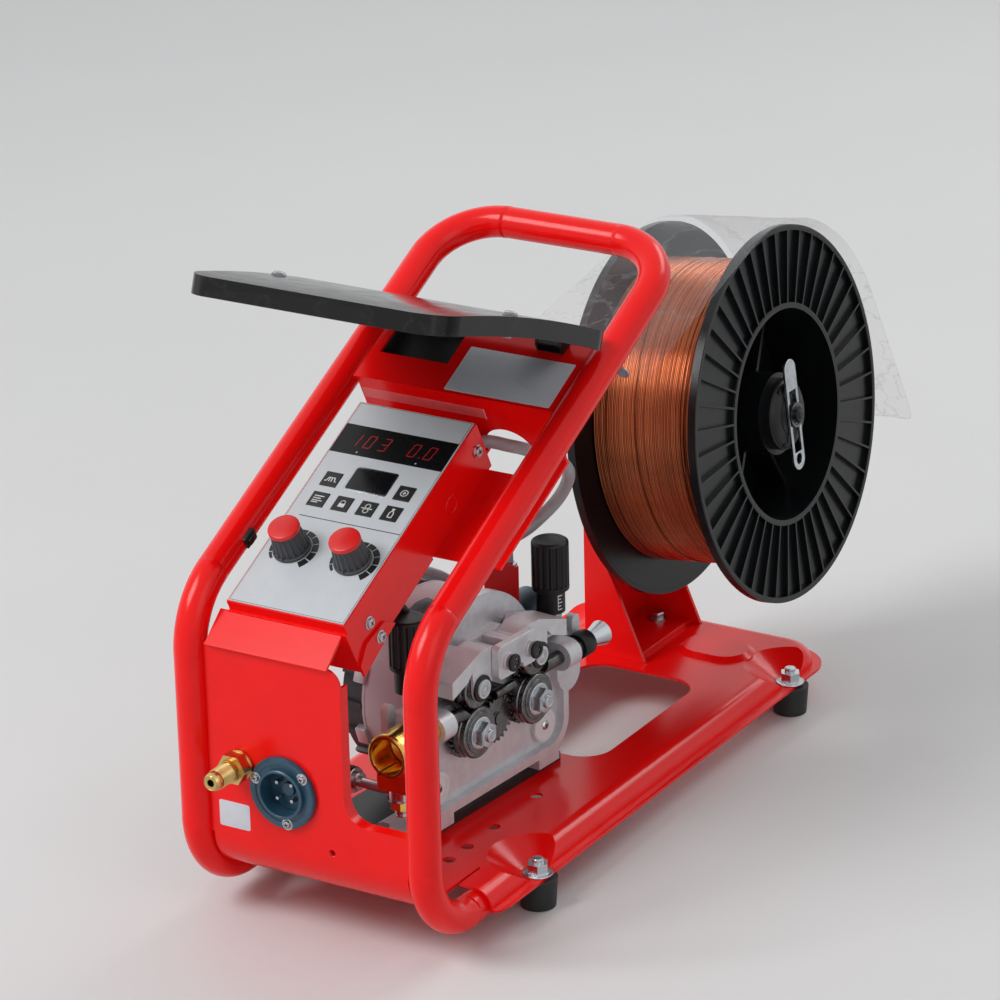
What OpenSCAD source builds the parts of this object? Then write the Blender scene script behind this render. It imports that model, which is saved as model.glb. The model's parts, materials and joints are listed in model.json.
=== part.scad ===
// Wire feeder of a MIG welding set, in a bent tube carry frame on rubber feet.
// Millimetres, +Z up, front towards -Y. The axes of the frame are laid out about
// the plane of the two uprights (Y = 0) and the middle of the frame (X = 0).

/* [Tube frame] */
// Outside diameter of the bent tube
tube_d = 22; // [20:0.5:23]
// Wall of the tube
tube_wall = 1.8; // [1.2:0.1:3]
// Distance between the centre lines of the two sides
frame_w = 176.2; // [172:0.2:184]
// Height of the tube's centre where it runs under the deck
tube_z = 23; // [22.5:0.5:24]
// Bend radius at the foot, at the knee and at the handle
foot_bend = 50; // [44:1:56]
knee_bend = 55; // [45:1:60]
handle_bend = 45; // [38:1:50]
// Fall of the sloping sides
slope_deg = 26.8; // [25:0.2:28]
// Height at which upright and slope centre lines meet
slope_z = 223; // [218:1:230]
// Length of the sloping sides, to the centre line of the handle
slope_len = 378.7; // [372:0.1:390]

/* [Chassis] */
// Thickness of the pressed sheet
sheet = 2; // [1.5:0.5:2.5]
// Top of the deck
deck_z = 36.3; // [36:0.1:37.5]
// Top of the outer flange
flange_z = 23; // [22.5:0.5:24]
// Width of the flat flange outside the tube's centre line
flange_w = 20; // [18:1:24]
// Front and rear ends of the pressed pan
pan_front = 58.6; // [57:0.2:62]
pan_rear = 541.5; // [536:0.5:548]
// Height of the front sheet
front_top = 200; // [197:1:202]
// Foot diameter and height
foot_d = 27; // [24:1:30]
foot_h = 21; // [20.5:0.5:22]

/* [Control box] */
// Width, length and depth of the box
box_w = 91; // [88:1:94]
box_l = 186; // [184:1:190]
box_d = 40; // [34:1:42]
// Diameter and height of the turning knobs
dial_d = 25; // [20:1:28]
dial_h = 21; // [17:1:24]
// Side of a key
key_w = 12.5; // [10:0.5:14]

/* [Visor] */
// Length and half width of the smoked cover
visor_l = 230; // [220:1:236]
visor_half = 98; // [96:0.5:102]
// Angle between the open rest position and closed
visor_open = 46.6; // [40:0.2:50]

/* [Wire drive] */
// Gear module, and teeth of drive gear, pressure gear and pinion
gear_m = 1.5; // [1.48:0.01:1.52]
drive_t = 24; // [24]
press_t = 20; // [20]
pinion_t = 21; // [21]
// Half the distance between the two drive rolls
roll_v = 33.5; // [33.4:0.05:33.6]
// Height of the drive roll axes
roll_z = 105; // [104.5:0.1:105.5]
// Radius of the motor
motor_r = 65; // [60:1:66]
// Diameter of the torch connector and of its bore
torch_d = 31; // [29:0.5:32]
torch_bore = 24.5; // [22:0.5:26]

/* [Spool] */
// Diameter, width and bore of the wire spool
spool_d = 270; // [262:1:272]
spool_w = 103; // [98:1:103]
spool_bore = 51.5; // [50:0.5:52]
// Radius of the wound wire
wound_r = 109.6; // [100:0.2:115]
// Tilt of the hub
hub_tilt = 6.76; // [6:0.02:7.5]

/* [Hidden] */

$fn = 48;
run = 0.05;          // running fit, radial
gap = 0.3;           // clearance between bodies
red = [0.86, 0.06, 0.09];
alu = [0.75, 0.76, 0.77];
dark = [0.12, 0.12, 0.13];
steel = [0.62, 0.63, 0.65];
brass = [0.78, 0.6, 0.3];

// ---- Frame values ----
tube_r = tube_d / 2;
side_x = frame_w / 2;
knee_t = knee_bend * tan((90 - slope_deg) / 2);
tail_y = 86;
bend_swell = 0.1;
inner_x = side_x - tube_r - bend_swell;
bend_lap = 0.5;
shoulder_r = deck_z - flange_z;
spine_y = pan_rear - flange_w;
spine_r = 12;
foot_pts = [[100, 120], [101, 481]];
deck_half = 75;
bend_r = 30;
bend_top = deck_z + bend_r - sheet / 2;
cut_x = 28;          // right edge of the tall part of the front sheet
cut_z = 93;          // top edge of its low part
nipple = [-51.3, 119];
nipple_tip = 36;
socket = [-18, 106];
socket_r = 25;

// ---- Control box values, in the slope's frame ----
box_x = -67;
box_s = 13;
box_top = -4;
box_wall = 1.5;
box_mid = box_x + box_w / 2;
panel_t = 1;
dial_x = [box_mid - 23.5, box_mid + 23.5];
dial_s = 65;
keys = [[-28.5, 128], [28.5, 128], [-28.5, 109.5], [-9.5, 109.5], [9.5, 109.5],
    [28.5, 109.5]];
display_s = [152, 178];
lcd_s = [123, 142];
lcd_w = 31;
side_screws = [[190, -21.4], [35, -24], [38, box_top - box_d + 4]];
tray_s = [213, 286];
tray_top = 5;
tray_low = box_top - box_d;
cable_hole = [33, -22, 19];

// ---- Visor values ----
hinge_s = 268;
hinge_h = 10.5;
hinge_x = 50;
visor_off = 9;
visor_t = 3;
visor_lip = 10;
visor_bow = 1250;
visor_r = 25;
bumper_y = -128;

// ---- Drive values: x outward, v along the wire, z up ----
drive_yaw = -4.5;
drive_v = 177.5;
groove_x = 29;
gear_x = [18, 24];
plate_x = [8, 16];
drive_r = gear_m * drive_t / 2;
press_gap = 0.2;
press_z = roll_z + gear_m * (drive_t + press_t) / 2;
press_r = gear_m * press_t / 2 - press_gap;
pinion_c = gear_m * (drive_t + pinion_t) / 2;
pinion_z = roll_z - sqrt(pinion_c * pinion_c - roll_v * roll_v);
wire_z = roll_z + drive_r;
shaft_r = 5;
plate_v = 86.5;
plate_z = [50, 125];
boss_v = plate_v - 7;
motor_z = 118;
arm_pivot = [13, 152];
arm_end = 82;
rod_v = 81.5;
rod_z = 125;
rod_x = 12;
rod_r = 3;
knob_z = 148.8;
knob_top = 201;
mouth_v = -130.5;
clamp_v = -116.5;
clamp_z = 96;
bolt_v = [-101, 70];
plate_t = 6;
foot_z = deck_z + plate_t;
bar_t = 7;
valve_at = [-16, 62, 141];
valve_r = 14;
valve_port = 24;
valve_tip = 30;
gland_v = 8;
gland_top = 183;
cable_r = 4.5;

// ---- Spool values: x along the tilted hub, outer face at 0 ----
hub_at = [101.7, 475.7, 232.7];
spool_r = spool_d / 2;
spool_eye = 75.7;
barrel_r = 79;
rim_t = 6;
drum_r = spool_bore / 2 - 0.1;
spindle_r = 8;
bracket_x = -40;
lean_z = 150;
latch_x = 3.5;
latch_t = 2;
bracket_local = (bracket_x - hub_at[0]) * cos(hub_tilt) + (lean_z - hub_at[2]) * sin(hub_tilt);
loops = 24;
loop_rings = 24;
loop_sides = 6;
wire_r = 1.6;
wind_x = [rim_t, spool_w - rim_t];
loop_pitch = (wind_x[1] - wind_x[0] - 2 * wire_r - 0.6) / loops;
loop_r = wound_r - wire_r;
core_r = (loop_r - wire_r) * cos(180 / loop_rings) - 0.05;
echo(least_gap_between_turns = loop_pitch - 2 * wire_r);

// ---- Cover values ----
cover_t = 1;
cover_r = spool_r + 4;
cover_x = [-96, 8];
cover_front = [-8, 108];
cover_a = [102, 22];

// ---- Placing: origin under the middle of the bounding box ----
x_mid = (hub_at[0] + spool_r * sin(hub_tilt) - foot_pts[1][0] - foot_d / 2) / 2;
y_mid = (cover_row(1, cover_t)[len(cover_row(1, 0)) - 1][1] - nipple_tip) / 2;

module placed() { translate([-x_mid, -y_mid, 0]) children(); }
// Point (Y, Z) that lies s along the slope and h above it
function on_slope(s, h) = [s * cos(slope_deg) - h * sin(slope_deg),
    slope_z + s * sin(slope_deg) + h * cos(slope_deg)];
// Point of the hub's tilted frame
function hub_pt(p) = hub_at + [p[0] * cos(hub_tilt) - p[2] * sin(hub_tilt), p[1],
    p[0] * sin(hub_tilt) + p[2] * cos(hub_tilt)];
module slope() { translate([0, 0, slope_z]) rotate([slope_deg, 0, 0]) children(); }
module drive() { rotate([0, 0, drive_yaw]) translate([0, drive_v, 0]) children(); }
module hub() { translate(hub_at) rotate([0, -hub_tilt, 0]) children(); }
module both() { children(); mirror([1, 0, 0]) children(); }
module ends() { children(); mirror([0, 1, 0]) children(); }
module ring2d(r1, r0) {
    difference() {
        circle(r1);
        circle(r0);
    }
}
// Profile in (Y, Z) run along X, and profile in (X, Z) run along Y
module yz(x0, x1) {
    translate([x0, 0, 0]) rotate([90, 0, 90]) linear_extrude(x1 - x0) children();
}
module xz(y0, y1) {
    translate([0, y1, 0]) rotate([90, 0, 0]) linear_extrude(y1 - y0) children();
}
// Cylinder along X, and cylinder along -Y (towards the front)
module rod_along_x(x0, x1, r) {
    translate([x0, 0, 0]) rotate([0, 90, 0]) cylinder(h = x1 - x0, r = r);
}
module rod_to_front(y0, y1, r) {
    translate([0, y1, 0]) rotate([90, 0, 0]) cylinder(h = y1 - y0, r = r);
}
module hex_along_x(x0, x1, af) {
    translate([x0, 0, 0]) rotate([0, 90, 0])
        cylinder(h = x1 - x0, r = af / 2 / cos(30), $fn = 6);
}
// Plan of a rectangle with round corners
module rounded(w, l, r) {
    square([w - 2 * r, l], center = true);
    square([w, l - 2 * r], center = true);
    for (x = [-1, 1], y = [-1, 1])
        translate([x * (w / 2 - r), y * (l / 2 - r)]) circle(r);
}

// ---- Tube frame ----
// A bend swells by a hair over the straights, which run a little way into it
module tube_bend(r, a, rt) {
    rotate_extrude(angle = a) translate([r, 0]) circle(rt + bend_swell);
}
module tube_run(len, rt) {
    translate([0, 0, -bend_lap]) cylinder(h = len + 2 * bend_lap, r = rt);
}

// Right half of the bent tube's path, as a round bar of radius rt
module tube_half(rt) {
    translate([side_x, tail_y, tube_z]) rotate([90, 0, 0])
        tube_run(tail_y - foot_bend, rt);
    translate([side_x, foot_bend, tube_z + foot_bend]) rotate([90, 0, 90])
        rotate([0, 0, 180]) tube_bend(foot_bend, 90, rt);
    translate([side_x, 0, tube_z + foot_bend])
        tube_run(slope_z - knee_t - tube_z - foot_bend, rt);
    translate([side_x, knee_bend, slope_z - knee_t]) rotate([90, 0, 90])
        rotate([0, 0, 90 + slope_deg]) tube_bend(knee_bend, 90 - slope_deg, rt);
    slope() {
        translate([side_x, knee_t, 0]) rotate([-90, 0, 0])
            tube_run(slope_len - handle_bend - knee_t, rt);
        translate([side_x - handle_bend, slope_len - handle_bend, 0])
            tube_bend(handle_bend, 90, rt);
        translate([0, slope_len, 0]) rotate([0, 90, 0])
            tube_run(side_x - handle_bend, rt);
    }
}

module tube_frame() {
    color(red) difference() {
        both() tube_half(tube_r);
        both() tube_half(tube_r - tube_wall);
    }
}

// ---- Chassis: pressed pan, front sheet and its rolled edge ----
// Half section of the pressed form outside the spine, lowered by t
module shoulder2d(t, low) {
    intersection() {
        circle(shoulder_r - t);
        square(shoulder_r);
    }
    translate([0, -low]) square([shoulder_r - t, low]);
}

// Solid under the pressed sheet, with its surface lowered by t
module pressed(t) {
    low = sheet + (t > 0 ? 1 : 0);
    y0 = pan_front - (t > 0 ? 3 : 0);
    corner_y = spine_y - spine_r;
    difference() {
        translate([0, 0, flange_z]) {
            translate([0, 0, -low]) linear_extrude(shoulder_r - t + low) {
                translate([-side_x, y0]) square([frame_w, corner_y - y0]);
                translate([-side_x + spine_r, y0])
                    square([frame_w - 2 * spine_r, spine_y - y0]);
                for (x = [-1, 1]) translate([x * (side_x - spine_r), corner_y])
                    circle(spine_r);
            }
            both() {
                translate([side_x, 0, 0]) xz(y0, corner_y) shoulder2d(t, low);
                translate([side_x - spine_r, corner_y, 0])
                    rotate_extrude(angle = 90) translate([spine_r, 0]) shoulder2d(t, low);
            }
            translate([0, spine_y, 0])
                yz(-side_x + spine_r, side_x - spine_r) shoulder2d(t, low);
        }
        for (p = foot_pts) both() translate([p[0], p[1], flange_z - t])
            cylinder(h = 2 * shoulder_r, r1 = 12, r2 = 12 + 2 * shoulder_r * 1.654);
    }
}

module pan_flange() {
    w = 2 * (side_x + flange_w);
    r = spine_r + flange_w;
    difference() {
        translate([0, pan_rear - 250, flange_z - sheet])
            linear_extrude(sheet) rounded(w, 500, r);
        translate([-w, pan_front - 500, 0]) cube([2 * w, 500, 2 * flange_z]);
    }
}

// Raised rib across the deck behind the opening, lowered by t
module deck_rib(t) {
    translate([40, 480, deck_z - t]) hull() for (x = [-28 + 20, 28 - 20])
        translate([x, 0, 0]) cylinder(h = 3.5, r1 = 22 - t / 2, r2 = 17 - t / 2, $fn = 32);
}

module front2d() {
    difference() {
        union() {
            translate([-inner_x, bend_top]) square([2 * inner_x, cut_z - bend_top]);
            translate([-inner_x, cut_z - 1]) square([inner_x + cut_x, front_top - cut_z - 11]);
            translate([-inner_x, cut_z]) square([inner_x + cut_x - 12, front_top - cut_z]);
            translate([cut_x - 12, front_top - 12]) circle(12);
            translate([cut_x, cut_z]) square(17);
        }
        translate([cut_x + 17, cut_z + 17]) circle(17);
    }
}

module chassis_pan() {
    color(red) {
        difference() {
            union() {
                pressed(0);
                pan_flange();
                deck_rib(0);
            }
            pressed(sheet);
            deck_rib(sheet);
            // Opening in the deck
            translate([13.5, 344.5, flange_z]) linear_extrude(2 * shoulder_r)
                rounded(93, 153, 22);
            // Slit that frees the shoulders from the front of the deck
            both() translate([deck_half, pan_front - 3, flange_z])
                cube([inner_x - deck_half, 30, 2 * shoulder_r]);
            for (y = [86, 109, 143.6, 200]) translate([52, y, flange_z])
                cylinder(h = 2 * shoulder_r, r = 4.5);
            for (p = foot_pts) both() translate([p[0], p[1], 0]) cylinder(h = 60, r = 4.2);
            // Bolt holes of the drive and of the spool bracket
            drive() for (v = bolt_v) translate([0, v, 0]) cylinder(h = 60, r = 3.2);
        }
        // Front of the deck, the bend and the front sheet
        translate([-deck_half, bend_r, deck_z - sheet])
            cube([2 * deck_half, pan_front - bend_r, sheet]);
        translate([0, bend_r, bend_top]) yz(-deck_half, deck_half)
            difference() {
                intersection() {
                    circle(bend_r + 1, $fn = 96);
                    translate([-2 * bend_r, -2 * bend_r]) square(2 * bend_r);
                }
                circle(bend_r - 1, $fn = 96);
            }
        difference() {
            xz(-sheet / 2, sheet / 2) front2d();
            translate([nipple[0], 0, nipple[1]]) rod_to_front(-9, 9, 6.8);
            translate([socket[0], 0, socket[1]]) rod_to_front(-9, 9, 17.3);
            translate([17.5, 0, 69.8]) rod_to_front(-9, 9, 2.5);
        }
        // Edge rolled back round the cut-out
        xz(sheet / 2, 8) intersection() {
            difference() {
                front2d();
                offset(delta = -sheet) front2d();
            }
            translate([cut_x - 14, cut_z - 2]) square([70, front_top - cut_z - 10]);
        }
    }
}

// ---- Control box and its carriers, in the slope's frame ----
module box_bracket() {
    end_s = box_s - sheet;
    low = box_top - box_d;
    color(red) {
        // Shelf from the front sheet up to the end of the box
        hull() yz(box_x - 7, box_x + box_w - 4) {
            translate([-3, front_top]) circle(1, $fn = 24);
            translate(on_slope(box_s - 1, -13)) circle(1, $fn = 24);
        }
        slope() difference() {
            union() {
                translate([box_x, end_s, low - sheet]) cube([box_w, 102, sheet]);
                translate([box_x, end_s, low - sheet]) cube([box_w, sheet, 35]);
                yz(box_x + box_w, box_x + box_w + sheet) polygon([[end_s, low - 6],
                    [56, low - sheet], [47, low + 9], [24, low + 12], [end_s, low + 4]]);
            }
            translate([0, side_screws[2][0], side_screws[2][1]]) rod_along_x(0, 40, 2);
        }
    }
}

module upper_tray() {
    x = side_x - sqrt(pow(tube_r, 2) - pow(tray_top - sheet, 2)) - 0.02;
    low = tray_low - sheet;
    color(red) slope() {
        difference() {
            translate([-x, tray_s[0], tray_top - sheet])
                cube([2 * x, tray_s[1] - tray_s[0], sheet]);
            translate([-70, 238, 0]) cube([53.4, 38, 9]);
            both() for (dx = [-7, 7]) translate([hinge_x + dx, hinge_s + 10, 0])
                cylinder(h = 9, r = 1.6);
        }
        difference() {
            union() {
                translate([-75, tray_s[0], low]) cube([150, sheet, tray_top - low - sheet]);
                translate([-75, 115, low]) cube([150, tray_s[0] - 115, sheet]);
            }
            translate([cable_hole[0], tray_s[0] - 9, cable_hole[1] - cable_hole[2]])
                rod_to_front(-9, 22, cable_hole[2]);
            translate([cable_hole[0], tray_s[0], cable_hole[1] - cable_hole[2]])
                translate([-19, -12, -9 - cable_hole[2]]) cube([38, 15, 12]);
        }
        translate([-75, tray_s[1] - sheet, -34]) cube([150, sheet, 34 + tray_top - sheet]);
    }
}

module control_box() {
    color(red) slope() difference() {
        translate([box_x, box_s, box_top - box_d]) cube([box_w, box_l, box_d]);
        translate([box_x + box_wall, box_s + box_wall, box_top - box_d - 1])
            cube([box_w - 2 * box_wall, box_l - 2 * box_wall, box_d + 1 - box_wall]);
        for (x = dial_x) translate([x, dial_s, box_top - 9]) cylinder(h = 18, r = 4.5);
        for (k = keys) translate([box_mid + k[0], k[1], box_top - 9])
            cylinder(h = 18, r = 2 + run);
        for (p = side_screws) translate([0, p[0], p[1]]) rod_along_x(0, 60, 1.8);
        translate([box_x + box_w - 9, box_s + box_l - 9, box_top - 24])
            rod_to_front(-9, 18, 6);
    }
}

module control_panel() {
    color([0.78, 0.79, 0.8]) slope() difference() {
        translate([box_x + 1, box_s + 1, box_top]) cube([box_w - 2, box_l - 2, panel_t]);
        translate([box_x + 2, display_s[0], -9])
            cube([box_w - 4, display_s[1] - display_s[0], 18]);
        translate([box_mid - lcd_w / 2, lcd_s[0], -9]) cube([lcd_w, lcd_s[1] - lcd_s[0], 18]);
        for (k = keys) translate([box_mid + k[0], k[1], 0])
            cube([key_w + gap, key_w + gap, 18], center = true);
        for (x = dial_x) translate([x, dial_s, -9]) cylinder(h = 18, r = 5);
    }
}

module display_windows() {
    color(dark) slope() translate([0, 0, box_top]) linear_extrude(panel_t + 0.2) {
        translate([box_x + 2, display_s[0]]) square([box_w - 4, display_s[1] - display_s[0]]);
        translate([box_mid - lcd_w / 2, lcd_s[0]]) square([lcd_w, lcd_s[1] - lcd_s[0]]);
    }
}

module dial_pots() {
    color(steel) slope() for (x = dial_x) translate([x, dial_s, box_top - box_wall])
        difference() {
            union() {
                translate([0, 0, -11]) cylinder(h = 11, r = 8.5);
                cylinder(h = box_wall + panel_t, r = 4.5);
            }
            translate([0, 0, -9]) cylinder(h = 20, r = 3 + run);
        }
}

module dial(i) {
    color(dark) slope() translate([dial_x[i], dial_s, box_top + panel_t + 0.4]) {
        difference() {
            cylinder(h = dial_h - 4, r1 = dial_d / 2, r2 = dial_d / 2 - 2.2);
            for (a = [0:20:340]) rotate([0, 0, a]) translate([dial_d / 2 + 0.6, 0, -1])
                rotate([0, -7, 0]) cylinder(h = dial_h, r = 1.4, $fn = 16);
        }
        cylinder(h = dial_h - 1.5, r = dial_d / 2 - 2.6);
        translate([0, 0, dial_h - 1.5]) cylinder(h = 1.5, r1 = dial_d / 2 - 2.6,
            r2 = dial_d / 2 - 4);
        translate([0, 0, -10]) cylinder(h = 11, r = 3);
    }
}
module amps_dial() { dial(0); }
module volts_dial() { dial(1); }

module key(i) {
    color(dark) slope() translate([box_mid + keys[i][0], keys[i][1], box_top]) {
        translate([-key_w / 2, -key_w / 2, 0.6]) cube([key_w, key_w, 0.9]);
        translate([0, 0, -6]) cylinder(h = 7, r = 2);
    }
}
module key_1() { key(0); }
module key_2() { key(1); }
module key_3() { key(2); }
module key_4() { key(3); }
module key_5() { key(4); }
module key_6() { key(5); }

module pan_screw() {
    rod_along_x(0, 2.4, 3.5);
    rod_along_x(-5, 0.5, 1.6);
}
module box_screws() {
    color(steel) slope() {
        for (i = [0:2]) let(p = side_screws[i])
            translate([box_x + box_w + (i == 2 ? sheet : 0), p[0], p[1]]) pan_screw();
    }
}

// ---- Visor ----
// Place in the visor's own frame: Y along the cover, Z up from the hinge axis
module visor_frame() {
    slope() translate([0, hinge_s, hinge_h]) rotate([-visor_open, 0, 0]) children();
}
// Part of a large bowed plate between heights t0 and t1
module bowed(t0, t1) {
    a = asin(visor_l / 2 / visor_bow);
    translate([0, -visor_l / 2, visor_off - visor_bow * cos(a)]) rotate([0, -90, 0])
        rotate([0, 0, -a]) rotate_extrude(angle = 2 * a, $fn = 720)
            translate([visor_bow + t0, -visor_half]) square([t1 - t0, 2 * visor_half]);
}
module visor() {
    color([0.2, 0.2, 0.22, 0.75]) visor_frame() {
        difference() {
            intersection() {
                bowed(-visor_lip, visor_t);
                translate([0, -visor_l / 2, -20]) linear_extrude(60)
                    rounded(2 * visor_half, visor_l, visor_r);
            }
            translate([0, 10, 0]) intersection() {
                translate([0, -10, 0]) bowed(-visor_lip - 2, 0);
                translate([0, -visor_l / 2, -20]) linear_extrude(60)
                    rounded(2 * visor_half - 5, visor_l + 15, visor_r - 2.5);
            }
            both() translate([side_x, bumper_y, 0]) cylinder(h = 40, r = 3);
        }
        both() difference() {
            union() {
                translate([hinge_x, 0, 0]) rod_along_x(-8, 8, 4);
                translate([hinge_x - 8, -4, 0]) cube([16, 5, visor_off + 1]);
            }
            translate([hinge_x, 0, 0]) rod_along_x(-9, 9, 2 + run);
        }
    }
}
module visor_bumpers() {
    z = visor_off + 5.5;
    color([0.9, 0.9, 0.9, 0.8]) visor_frame() both() translate([side_x, bumper_y, 0]) {
        translate([0, 0, z - 12]) cylinder(h = 12, r = 3);
        translate([0, 0, z - 9.5]) cylinder(h = 3, r = 5.5);
        translate([0, 0, z + 2.9]) cylinder(h = 2.6, r1 = 5.5, r2 = 3.5);
        translate([0, 0, z - 0.1]) cylinder(h = 3.1, r = 3);
    }
}
module visor_hinges() {
    color(dark) slope() both() translate([hinge_x, hinge_s, 0]) {
        for (x = [-10.3, 8.3]) difference() {
            union() {
                translate([0, 0, hinge_h]) rod_along_x(x, x + 2, 4.5);
                translate([x, -4.5, tray_top]) cube([2, 9, hinge_h - tray_top]);
            }
        }
        translate([-10.3, -4.5, tray_top]) cube([20.6, 20, 1]);
        translate([0, 0, hinge_h]) rod_along_x(-10.3, 10.3, 2);
        for (dx = [-7, 7]) translate([dx, 10, tray_top - 4]) {
            cylinder(h = 5, r = 1.5);
            translate([0, 0, 4.9]) cylinder(h = 1.8, r = 3);
        }
    }
}

// ---- Wire drive ----
function inv(a) = tan(a) * 180 / PI - a;
// Angle of the involute at radius r, from the middle of the tooth
function flank(r, rb, half) = half - inv(acos(rb / r));
function tooth_pts(n, phase) = let(rp = gear_m * n / 2, rb = rp * cos(20),
    ra = rp + gear_m, rf = rp - 1.25 * gear_m, r0 = max(rb + 0.01, rf),
    half = 90 / n + inv(20) - 0.09 / rp * 180 / PI,
    rs = [for (k = [0:3]) r0 + (ra - r0) * k / 3])
    [for (i = [0:n - 1]) let(c = phase + i * 360 / n)
        each concat(
            [[rf, c - flank(rs[0], rb, half) - 0.3]],
            [for (r = rs) [r, c - flank(r, rb, half)]],
            [for (k = [3:-1:0]) [rs[k], c + flank(rs[k], rb, half)]],
            [[rf, c + flank(rs[0], rb, half) + 0.3]])];
module gear2d(n, phase) {
    polygon([for (p = tooth_pts(n, phase)) p[0] * [cos(p[1]), sin(p[1])]]);
}
// Phase of a gear of nb teeth that meshes, in direction dir, with one of na at phase pa
function meshed(na, pa, nb, dir) =
    dir + 180 - (0.5 - ((dir - pa) * na / 360 - floor((dir - pa) * na / 360))) * 360 / nb;
mesh_dir = asin((roll_z - pinion_z) / pinion_c);
rear_phase = meshed(pinion_t, 0, drive_t, mesh_dir);
front_phase = meshed(pinion_t, 0, drive_t, 180 - mesh_dir);

module plate2d(in) {
    r = 22 - in;
    v = plate_v - in;
    z0 = plate_z[0] + in;
    translate([-v + r, z0]) square([2 * v - 2 * r, plate_z[1] - z0]);
    translate([-v, z0 + r]) square([2 * v, plate_z[1] - z0 - r]);
    for (s = [-1, 1]) translate([s * (v - r), z0 + r]) circle(r);
}
// Ear that carries a tension rod, seen along x
module ear2d() {
    translate([plate_v - 13, 100]) square([27.5, 25]);
    translate([plate_v - 13, 120]) square([14, 13]);
    translate([plate_v + 5.5, 120]) square([9, 18]);
    translate([plate_v + 10, 138]) circle(4.5);
    translate([plate_v + 1.5, 102]) circle(13);
}

module drive_casting() {
    color(alu) drive() difference() {
        union() {
            yz(plate_x[0], plate_x[1]) plate2d(0);
            yz(plate_x[1] - 1, plate_x[1] + 6) difference() {
                plate2d(0);
                plate2d(6);
                translate([-100, 116]) square([200, 20]);
            }
            // Upright behind the arm pivots
            yz(plate_x[0], plate_x[1]) translate([0, 141]) rounded(44, 42, 6);
            ends() yz(2, 22) ear2d();
            // Bosses of the roll shafts and of the wire guides
            ends() translate([0, roll_v, roll_z]) rod_along_x(-1, plate_x[1] + 1, 11);
            ends() translate([0, 0, wire_z]) {
                translate([groove_x, 0, 0]) rod_to_front(boss_v - 14, boss_v, 10);
                translate([plate_x[1], boss_v - 14, -10]) cube([groove_x - plate_x[1], 14, 20]);
            }
            // Feet: one pad under each end and a bolted bar along the back
            ends() translate([-2, 50, foot_z]) cube([24, 24, 9]);
            translate([-12, bolt_v[0] - 12, foot_z]) cube([24, bolt_v[1] - bolt_v[0] + 24, bar_t]);
        }
        ends() translate([0, roll_v, roll_z]) rod_along_x(-9, 30, shaft_r + run);
        translate([0, 0, pinion_z]) rod_along_x(-9, 30, 4.5);
        ends() translate([0, arm_pivot[0], arm_pivot[1]]) rod_along_x(0, 30, 4);
        // Slot and bores for the tension rods
        ends() translate([rod_x - 4.5, rod_v - 9, 113]) cube([9, 60, 40]);
        ends() translate([0, rod_v, rod_z]) rod_along_x(0, 30, 2.5 + run);
        ends() translate([groove_x, plate_v - 40, wire_z]) rod_to_front(-60, 60, 5);
        for (v = bolt_v) translate([0, v, 0]) {
            cylinder(h = foot_z + bar_t + 9, r = 3.2);
            translate([0, 0, foot_z + bar_t]) cylinder(h = 9, r = 7.2);
        }
        ends() translate([0, 62, 71]) rod_along_x(plate_x[1] - 2, 30, 4);
    }
}

module gear_housing() {
    color(alu) drive() translate([0, 0.5, motor_z]) difference() {
        rod_along_x(-2, plate_x[0], motor_r + 3);
        translate([0, -0.5, pinion_z - motor_z]) rod_along_x(-9, 30, 4.5);
        for (s = [-1, 1]) translate([0, s * roll_v - 0.5, roll_z - motor_z])
            rod_along_x(-9, 30, 11.2);
    }
}

module motor_body() {
    color([0.72, 0.72, 0.73]) drive() translate([0, 0.5, motor_z]) difference() {
        rod_along_x(-42, -2, motor_r);
        translate([0, -0.5, pinion_z - motor_z]) rod_along_x(-13, 0, 4.5);
        for (s = [-1, 1]) translate([0, s * roll_v - 0.5, roll_z - motor_z])
            rod_along_x(-3, 30, 11.2);
    }
}

module motor_end_ring() {
    color(dark) drive() translate([0, 0.5, motor_z]) {
        rod_along_x(-60, -58, motor_r - 3);
        yz(-59, -42) {
            circle(motor_r - 2);
            for (a = [0:20:340]) rotate(a) translate([motor_r - 4, -2]) square([5, 4]);
        }
    }
}

module insulating_plate() {
    color(dark) drive() difference() {
        translate([-60, -118, deck_z]) cube([76, 202, plate_t]);
        for (v = bolt_v) translate([0, v, 0]) cylinder(h = foot_z + 9, r = 3.2);
    }
}

// Bolts through the casting's bar, the plate and the deck, with their nuts
module drive_bolts() {
    color(steel) drive() for (v = bolt_v) translate([0, v, 0]) {
        translate([0, 0, deck_z - sheet - 8]) cylinder(h = foot_z + bar_t - deck_z + sheet + 10, r = 3);
        translate([0, 0, foot_z + bar_t]) cylinder(h = 1.6, r = 6.5);
        translate([0, 0, foot_z + bar_t]) cylinder(h = 5.6, r = 10 / 2 / cos(30), $fn = 6);
        translate([0, 0, deck_z - sheet - 6]) cylinder(h = 6, r = 10 / 2 / cos(30), $fn = 6);
    }
}

module cap_discs() {
    color([0.9, 0.9, 0.9]) drive() ends() translate([0, 62, 71]) {
        rod_along_x(plate_x[1], plate_x[1] + 3, 12);
        rod_along_x(plate_x[1] - 2, plate_x[1] + 1, 4);
    }
}

// Bridge across the two arm pivots, with its pins
module arm_bridge() {
    x = 36;
    color(alu) drive() {
        yz(x, x + 6) difference() {
            translate([0, 152]) rounded(44, 24, 4);
            translate([2, 140]) circle(5);
        }
        translate([plate_x[1], -4.5, 140]) cube([x - plate_x[1], 9, 22]);
        ends() translate([0, arm_pivot[0], arm_pivot[1]]) {
            rod_along_x(plate_x[0] + gap, x + 6, 4);
            difference() {
                rod_along_x(x + 6, x + 9, 6);
                hex_along_x(x + 7.5, x + 10, 5);
            }
        }
    }
}

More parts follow.
